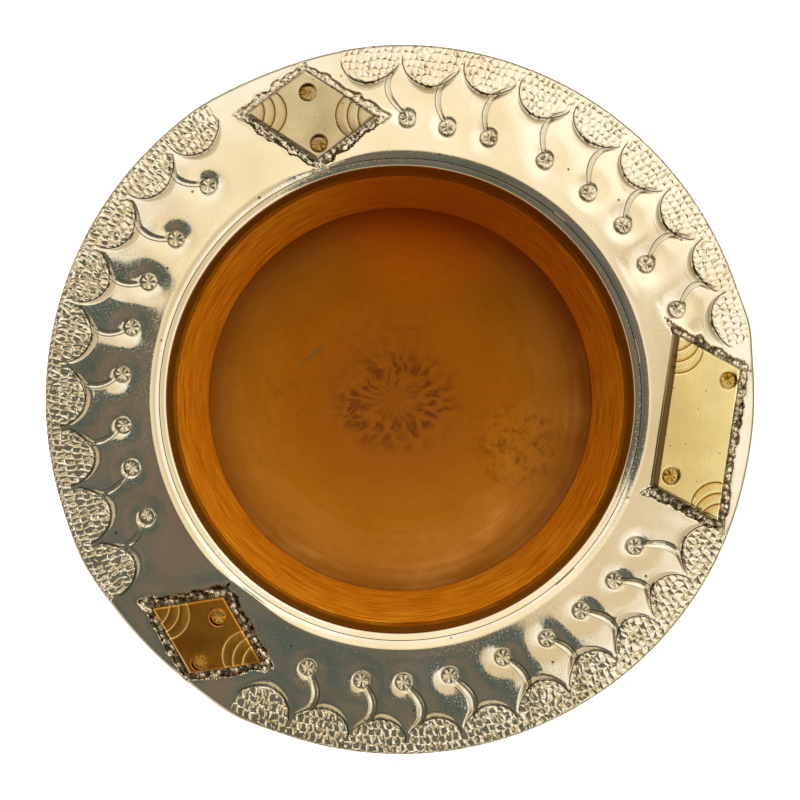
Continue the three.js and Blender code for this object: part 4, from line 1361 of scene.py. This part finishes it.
def gourd_rind(name):
    """Dried gourd, turned and oiled inside: an orange wall with fine tool lines, a browner mottled floor."""
    material, tree = blank(name)
    coords = add(tree, "TexCoord").outputs["Object"]
    up = add(tree, "SeparateXYZ", [coords]).outputs["Z"]
    squeeze = add(tree, "Mapping", {"Vector": coords, "Scale": (0.09, 0.09, 1.0)})
    rings = add(tree, "TexNoise", {"Vector": squeeze, "Scale": per_mm(0.55), "Detail": 5.0, "Roughness": 0.7})
    cloud = add(tree, "TexNoise", {"Vector": coords, "Scale": per_mm(11), "Detail": 6.0, "Roughness": 0.6})
    grit = add(tree, "TexNoise", {"Vector": coords, "Scale": per_mm(1.7), "Detail": 4.0, "Roughness": 0.7})
    wall = add(tree, "ValToRGB", [rings], [(0.3, "#943F02"), (0.5, "#E28A08"), (0.68, "#FFC038")])
    # Painted light: the floor is painted darker round its middle, where the lamp's light pools, and paler
    # towards its edge, which lies in shade under the ridge.
    middle = spot(tree, coords, FLOOR_PAINTED_LIGHT_MIDDLE, 5, 30)
    calm = add(tree, "MapRange", [cloud, 0, 1, 0.45, 0.72])
    pale = add(tree, "Math", [middle, -0.6, calm], operation="MULTIPLY_ADD")
    flat = add(tree, "VectorMath", [coords, (1.0, 1.0, 0.0)], operation="MULTIPLY")
    out = add(tree, "VectorMath", [flat], operation="LENGTH").outputs["Value"]
    along = add(tree, "Math", [out, per_mm(0.9)], operation="MULTIPLY")
    lathe = add(tree, "TexNoise", {"W": along, "Scale": 1.0, "Detail": 2.0}, noise_dimensions="1D")
    lined = add(tree, "Math", [lathe, 0.07, pale], operation="MULTIPLY_ADD")
    floor = add(tree, "ValToRGB", [lined], [(0.0, "#7A4605"), (0.25, "#844F08"), (0.45, "#905C12"),
                                            (0.6, "#A26C26"), (0.68, "#BE8C44")])
    height = add(tree, "MapRange", [up, (RIDGE_HEIGHT - 4) * MM, RIDGE_HEIGHT * MM])
    # Painted shade: the top side of the inside, which the rim shades, is painted darker and redder.
    top_shade = spot(tree, coords, TOP_SHADE_PLACE, *TOP_SHADE_REACH, 0.7)
    mould = add(tree, "MapRange", [grit, 0.46, 0.72])
    marks = [flower_scar(tree, coords), add(tree, "Math", [mould, 0.16], operation="MULTIPLY")]
    for place, reach, share in MOULD_SPOTS:
        around = spot(tree, coords, place, reach * 0.3, reach, share)
        marks.append(add(tree, "Math", [mould, around], operation="MULTIPLY"))
    fade_from, fade_to = ((FLOOR_HEIGHT + rise) * MM for rise in FLOOR_SHADE)
    low = add(tree, "MapRange", [up, fade_from, fade_to, 0.74, 0])
    darkest, *others = marks
    for mark in others:
        darkest = add(tree, "Math", [darkest, mark], operation="MAXIMUM")
    dirt = add(tree, "Math", [darkest, low], operation="MULTIPLY")
    bare = add(tree, "Math", [scratch(tree, coords), low], operation="MULTIPLY")
    colour = floor
    layers = ((height, wall), (top_shade, srgb("#B85A04")), (dirt, srgb("#462002")), (bare, srgb("#4C4A38")))
    for share, over in layers:
        mix = add(tree, "Mix", {0: share, MIX_A: colour, MIX_B: over}, data_type="RGBA")
        colour = mix.outputs[MIX_RESULT]
    bump = add(tree, "Bump", {"Height": rings, "Strength": 0.35, "Distance": 0.15 * MM})
    shader = add(tree, "BsdfPrincipled", {"Base Color": colour, "Roughness": 0.5, "Specular IOR Level": 0.25,
                                          "Normal": bump})
    add(tree, "OutputMaterial", [shader])
    return material


def leather(name, dark, light, grain_size):
    """Vegetable-tanned cowhide, oiled and rubbed: pebbled grain, darker creases and a soft sheen."""
    material, tree = blank(name)
    coords = add(tree, "TexCoord").outputs["Object"]
    pebbles = add(tree, "TexVoronoi", {"Vector": coords, "Scale": per_mm(grain_size), "Randomness": 0.9},
                  feature="SMOOTH_F1")
    cloud = add(tree, "TexNoise", {"Vector": coords, "Scale": per_mm(14), "Detail": 6.0, "Roughness": 0.62})
    # Pores, coarser than real ones, which would be too fine to show.
    pores = add(tree, "TexNoise", {"Vector": coords, "Scale": per_mm(0.5), "Detail": 2.0})
    tint = add(tree, "ValToRGB", [cloud], [(0.3, dark), (0.7, light)])
    crease = add(tree, "MapRange", [pebbles, 0.35, 0.75, 0, 0.5])
    creased = add(tree, "Mix", {0: crease, MIX_A: tint, MIX_B: srgb("#22120A")}, data_type="RGBA")
    rough = add(tree, "MapRange", [cloud, 0, 1, 0.38, 0.62])
    relief = add(tree, "Math", [pebbles, -1.0, pores], operation="MULTIPLY_ADD")
    bump = add(tree, "Bump", {"Height": relief, "Strength": 0.55, "Distance": 0.22 * MM})
    shader = add(tree, "BsdfPrincipled", {"Base Color": creased.outputs[MIX_RESULT], "Roughness": rough,
                                          "Normal": bump})
    add(tree, "OutputMaterial", [shader])
    return material


def waxed_thread(name):
    """Waxed linen thread: pale, slightly fuzzy strands with a dull wax bloom."""
    material, tree = blank(name)
    coords = add(tree, "TexCoord").outputs["Object"]
    # Fibres, coarser than real ones, which would be too fine to show.
    fibre = add(tree, "TexNoise", {"Vector": coords, "Scale": per_mm(0.4), "Detail": 3.0})
    tint = add(tree, "ValToRGB", [fibre], [(0.3, "#B59C70"), (0.7, "#E2D2AE")])
    bump = add(tree, "Bump", {"Height": fibre, "Strength": 0.5, "Distance": 0.08 * MM})
    shader = add(tree, "BsdfPrincipled", {"Base Color": tint, "Roughness": 0.68, "Normal": bump})
    add(tree, "OutputMaterial", [shader])
    return material


def bedding_resin(name):
    """Dark glue that beds the rim on the gourd: nearly black brown with a dull skin."""
    material, tree = blank(name)
    coords = add(tree, "TexCoord").outputs["Object"]
    cloud = add(tree, "TexNoise", {"Vector": coords, "Scale": per_mm(3), "Detail": 3.0})
    tint = add(tree, "ValToRGB", [cloud], [(0.3, "#2C2620"), (0.7, "#453C33")])
    shader = add(tree, "BsdfPrincipled", {"Base Color": tint, "Roughness": 0.45})
    add(tree, "OutputMaterial", [shader])
    return material


# Stage


def seen_by_eye(tree):
    """1 for rays that show the background: straight from the camera, or by metal or glass."""
    path = add(tree, "LightPath").outputs
    seen = path["Is Camera Ray"]
    for kind in ("Glossy", "Transmission"):
        seen = add(tree, "Math", [seen, path[f"Is {kind} Ray"]], operation="MAXIMUM")
    return seen


def make_floor():
    """A white table. Its own light is added only for the eye, so that it shows white and keeps the shadow."""
    bpy.ops.object.select_all(action="DESELECT")
    bpy.ops.mesh.primitive_plane_add(size=FLOOR_SIZE * MM)
    floor = bpy.context.object
    floor.name = "table"
    material, tree = blank("white_table")
    glow = add(tree, "Math", [seen_by_eye(tree), TABLE_GLOW], operation="MULTIPLY")
    shader = add(tree, "BsdfPrincipled", {"Base Color": srgb("#E8EDF5"), "Roughness": 0.9,
                                          "Emission Color": srgb("#F2F7FF"), "Emission Strength": glow})
    add(tree, "OutputMaterial", [shader])
    floor.data.materials.append(material)


def patch(tree, coords, azimuth, zenith, radius, soft):
    """A round patch of sky: 1 inside its angular radius, easing to 0 over a soft edge, in degrees."""
    facing = add(tree, "VectorMath", [coords, direction(azimuth, zenith)], operation="DOT_PRODUCT")
    low, high = (math.cos(math.radians(reach)) for reach in (radius + soft, radius - soft))
    return add(tree, "MapRange", [facing.outputs["Value"], low, high], interpolation_type="SMOOTHSTEP")


def make_world():
    """A warm white room, darker low down, with one dark side that the polished brim mirrors."""
    world = bpy.data.worlds.new("warm_room")
    bpy.context.scene.world = world
    world.use_nodes = True
    tree = world.node_tree
    tree.nodes.clear()
    coords = add(tree, "TexCoord").outputs["Generated"]
    up = add(tree, "SeparateXYZ", [coords]).outputs["Z"]
    things = add(tree, "TexNoise", {"Vector": coords, "Scale": 4.0, "Detail": 2.0})
    level = add(tree, "Math", [things, 0.24, up], operation="MULTIPLY_ADD")
    height = add(tree, "Math", [level, 0.12], operation="SUBTRACT")
    away = add(tree, "VectorMath", [coords, direction(45, 90)], operation="DOT_PRODUCT").outputs["Value"]
    table = add(tree, "MapRange", [away, -0.3, 0.5, 0.3, 0])
    lifted = add(tree, "Math", [height, table], operation="ADD")
    sky = add(tree, "ValToRGB", [lifted], [(0.0, "#54472F"), (0.18, "#84745A"), (0.34, "#D4C4A0"),
                                           (0.5, "#E8D8B6"), (0.9, "#EDDDBC")])
    shelf = add(tree, "ValToRGB", [height], [(0.5, "#000000"), (0.62, "#FFFFFF"), (0.78, "#FFFFFF"),
                                             (0.86, "#000000")])
    panes = [(patch(tree, coords, *place), (*glow, 1.0)) for place, glow in WINDOWS]
    shade = add(tree, "ValToRGB", [things], [(0.36, "#5A6562"), (0.52, "#706E64"), (0.64, "#807266")])
    above = add(tree, "MapRange", [height, 0.34, 0.42])
    dark = add(tree, "Math", [patch(tree, coords, *DARK_SIDE), above], operation="MULTIPLY")
    room = sky
    for share, light in [(shelf, (*SHELF_LIGHT, 1.0)), *panes, (dark, shade)]:
        mix = add(tree, "Mix", {0: share, MIX_A: room, MIX_B: light}, data_type="RGBA")
        room = mix.outputs[MIX_RESULT]
    back = add(tree, "Background", {"Color": room, "Strength": 1.0})
    add(tree, "OutputWorld", [back])


def make_lamp(name, azimuth, zenith, distance, size, power, colour):
    """A soft lamp aimed at the mouth. The metal doesn't mirror it, since the room gives its reflections."""
    aim = Vector(direction(azimuth, zenith))
    bpy.ops.object.light_add(type="AREA", location=(aim * distance + Vector((0, 0, CUP_HEIGHT))) * MM)
    lamp = bpy.context.object
    lamp.name = name
    lamp.rotation_euler = aim.to_track_quat("Z", "Y").to_euler()
    lamp.data.shape = "DISK"
    lamp.data.size = size * MM
    lamp.data.energy = power
    lamp.data.color = srgb(colour)[:3]
    lamp.visible_glossy = False


def make_camera():
    bpy.ops.object.camera_add(location=[value * MM for value in CAMERA_PLACE], rotation=(0, 0, 0))
    camera = bpy.context.object
    camera.name = "overhead"
    camera.data.lens = CAMERA_LENS
    camera.data.sensor_width = SENSOR
    camera.data.clip_start = 0.01
    bpy.context.scene.camera = camera


chased_metal = nickel_silver("chased_nickel_silver", True)
plain_metal = nickel_silver("polished_nickel_silver", False)
mouth_metal = nickel_silver("dark_lined_nickel_silver", False, "#3C2B1F")
# Each plate's tones, then its struck and line colours: dark on the top and right plates as brown film and
# painted shade, bright on the left one as painted highlights.
PLATE_FINISHES = {
    "top": brass("rubbed_brass", "#D2C4A4", "#B4A584", "#B08838", "#6E4C14", 0.22),
    "right": brass("filed_brass", "#EAD89E", "#DAC68A", "#C89A34", "#74480C", 0.22),
    "left": brass("tarnished_brass", "#E49E3C", "#B87C2A", "#F0BC58", "#FFE8A4", 0.36),
}
cover_leather = leather("oiled_cowhide", "#3E2314", "#6B4024", 1.3)
sole_leather = leather("vegetable_tanned_sole", "#6A3F22", "#8C5A33", 0.9)
thread_wax = waxed_thread("waxed_linen_thread")

plates = {name: Plate(**sizes) for name, sizes in PLATES.items()}
fitted(make_brim(plates), chased_metal, "white_metal", "rim_flange")
for order, (side, plate) in enumerate(plates.items()):
    piece = make_plate(f"brass_plate_{side}", plate, PLATE_SEED + order)
    fitted(piece, PLATE_FINISHES[side], "plate_brass", f"plate_{side}")
fitted(make_sleeve(), mouth_metal, "white_metal", "mouth_sleeve")
fitted(make_collar(), plain_metal, "white_metal", "rim_collar")
fitted(make_gourd(), gourd_rind("turned_gourd"), "gourd_shell", "gourd_vessel")
fitted(make_cover(), cover_leather, "cover_leather", "leather_cover")
make_stitches(thread_wax)
fitted(make_foot_ring(), cover_leather, "cover_leather", "leather_foot_ring")
fitted(make_sole(), sole_leather, "sole_leather", "foot_sole")
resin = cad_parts["bedding_resin"]
resin.data.materials.clear()
resin.data.materials.append(bedding_resin("bedding_resin"))

make_floor()
make_world()
make_lamp("key", 66, 5.5, 900, 300, 11.2, "#FFF1DC")
make_camera()
bpy.context.scene.view_settings.view_transform = "Standard"
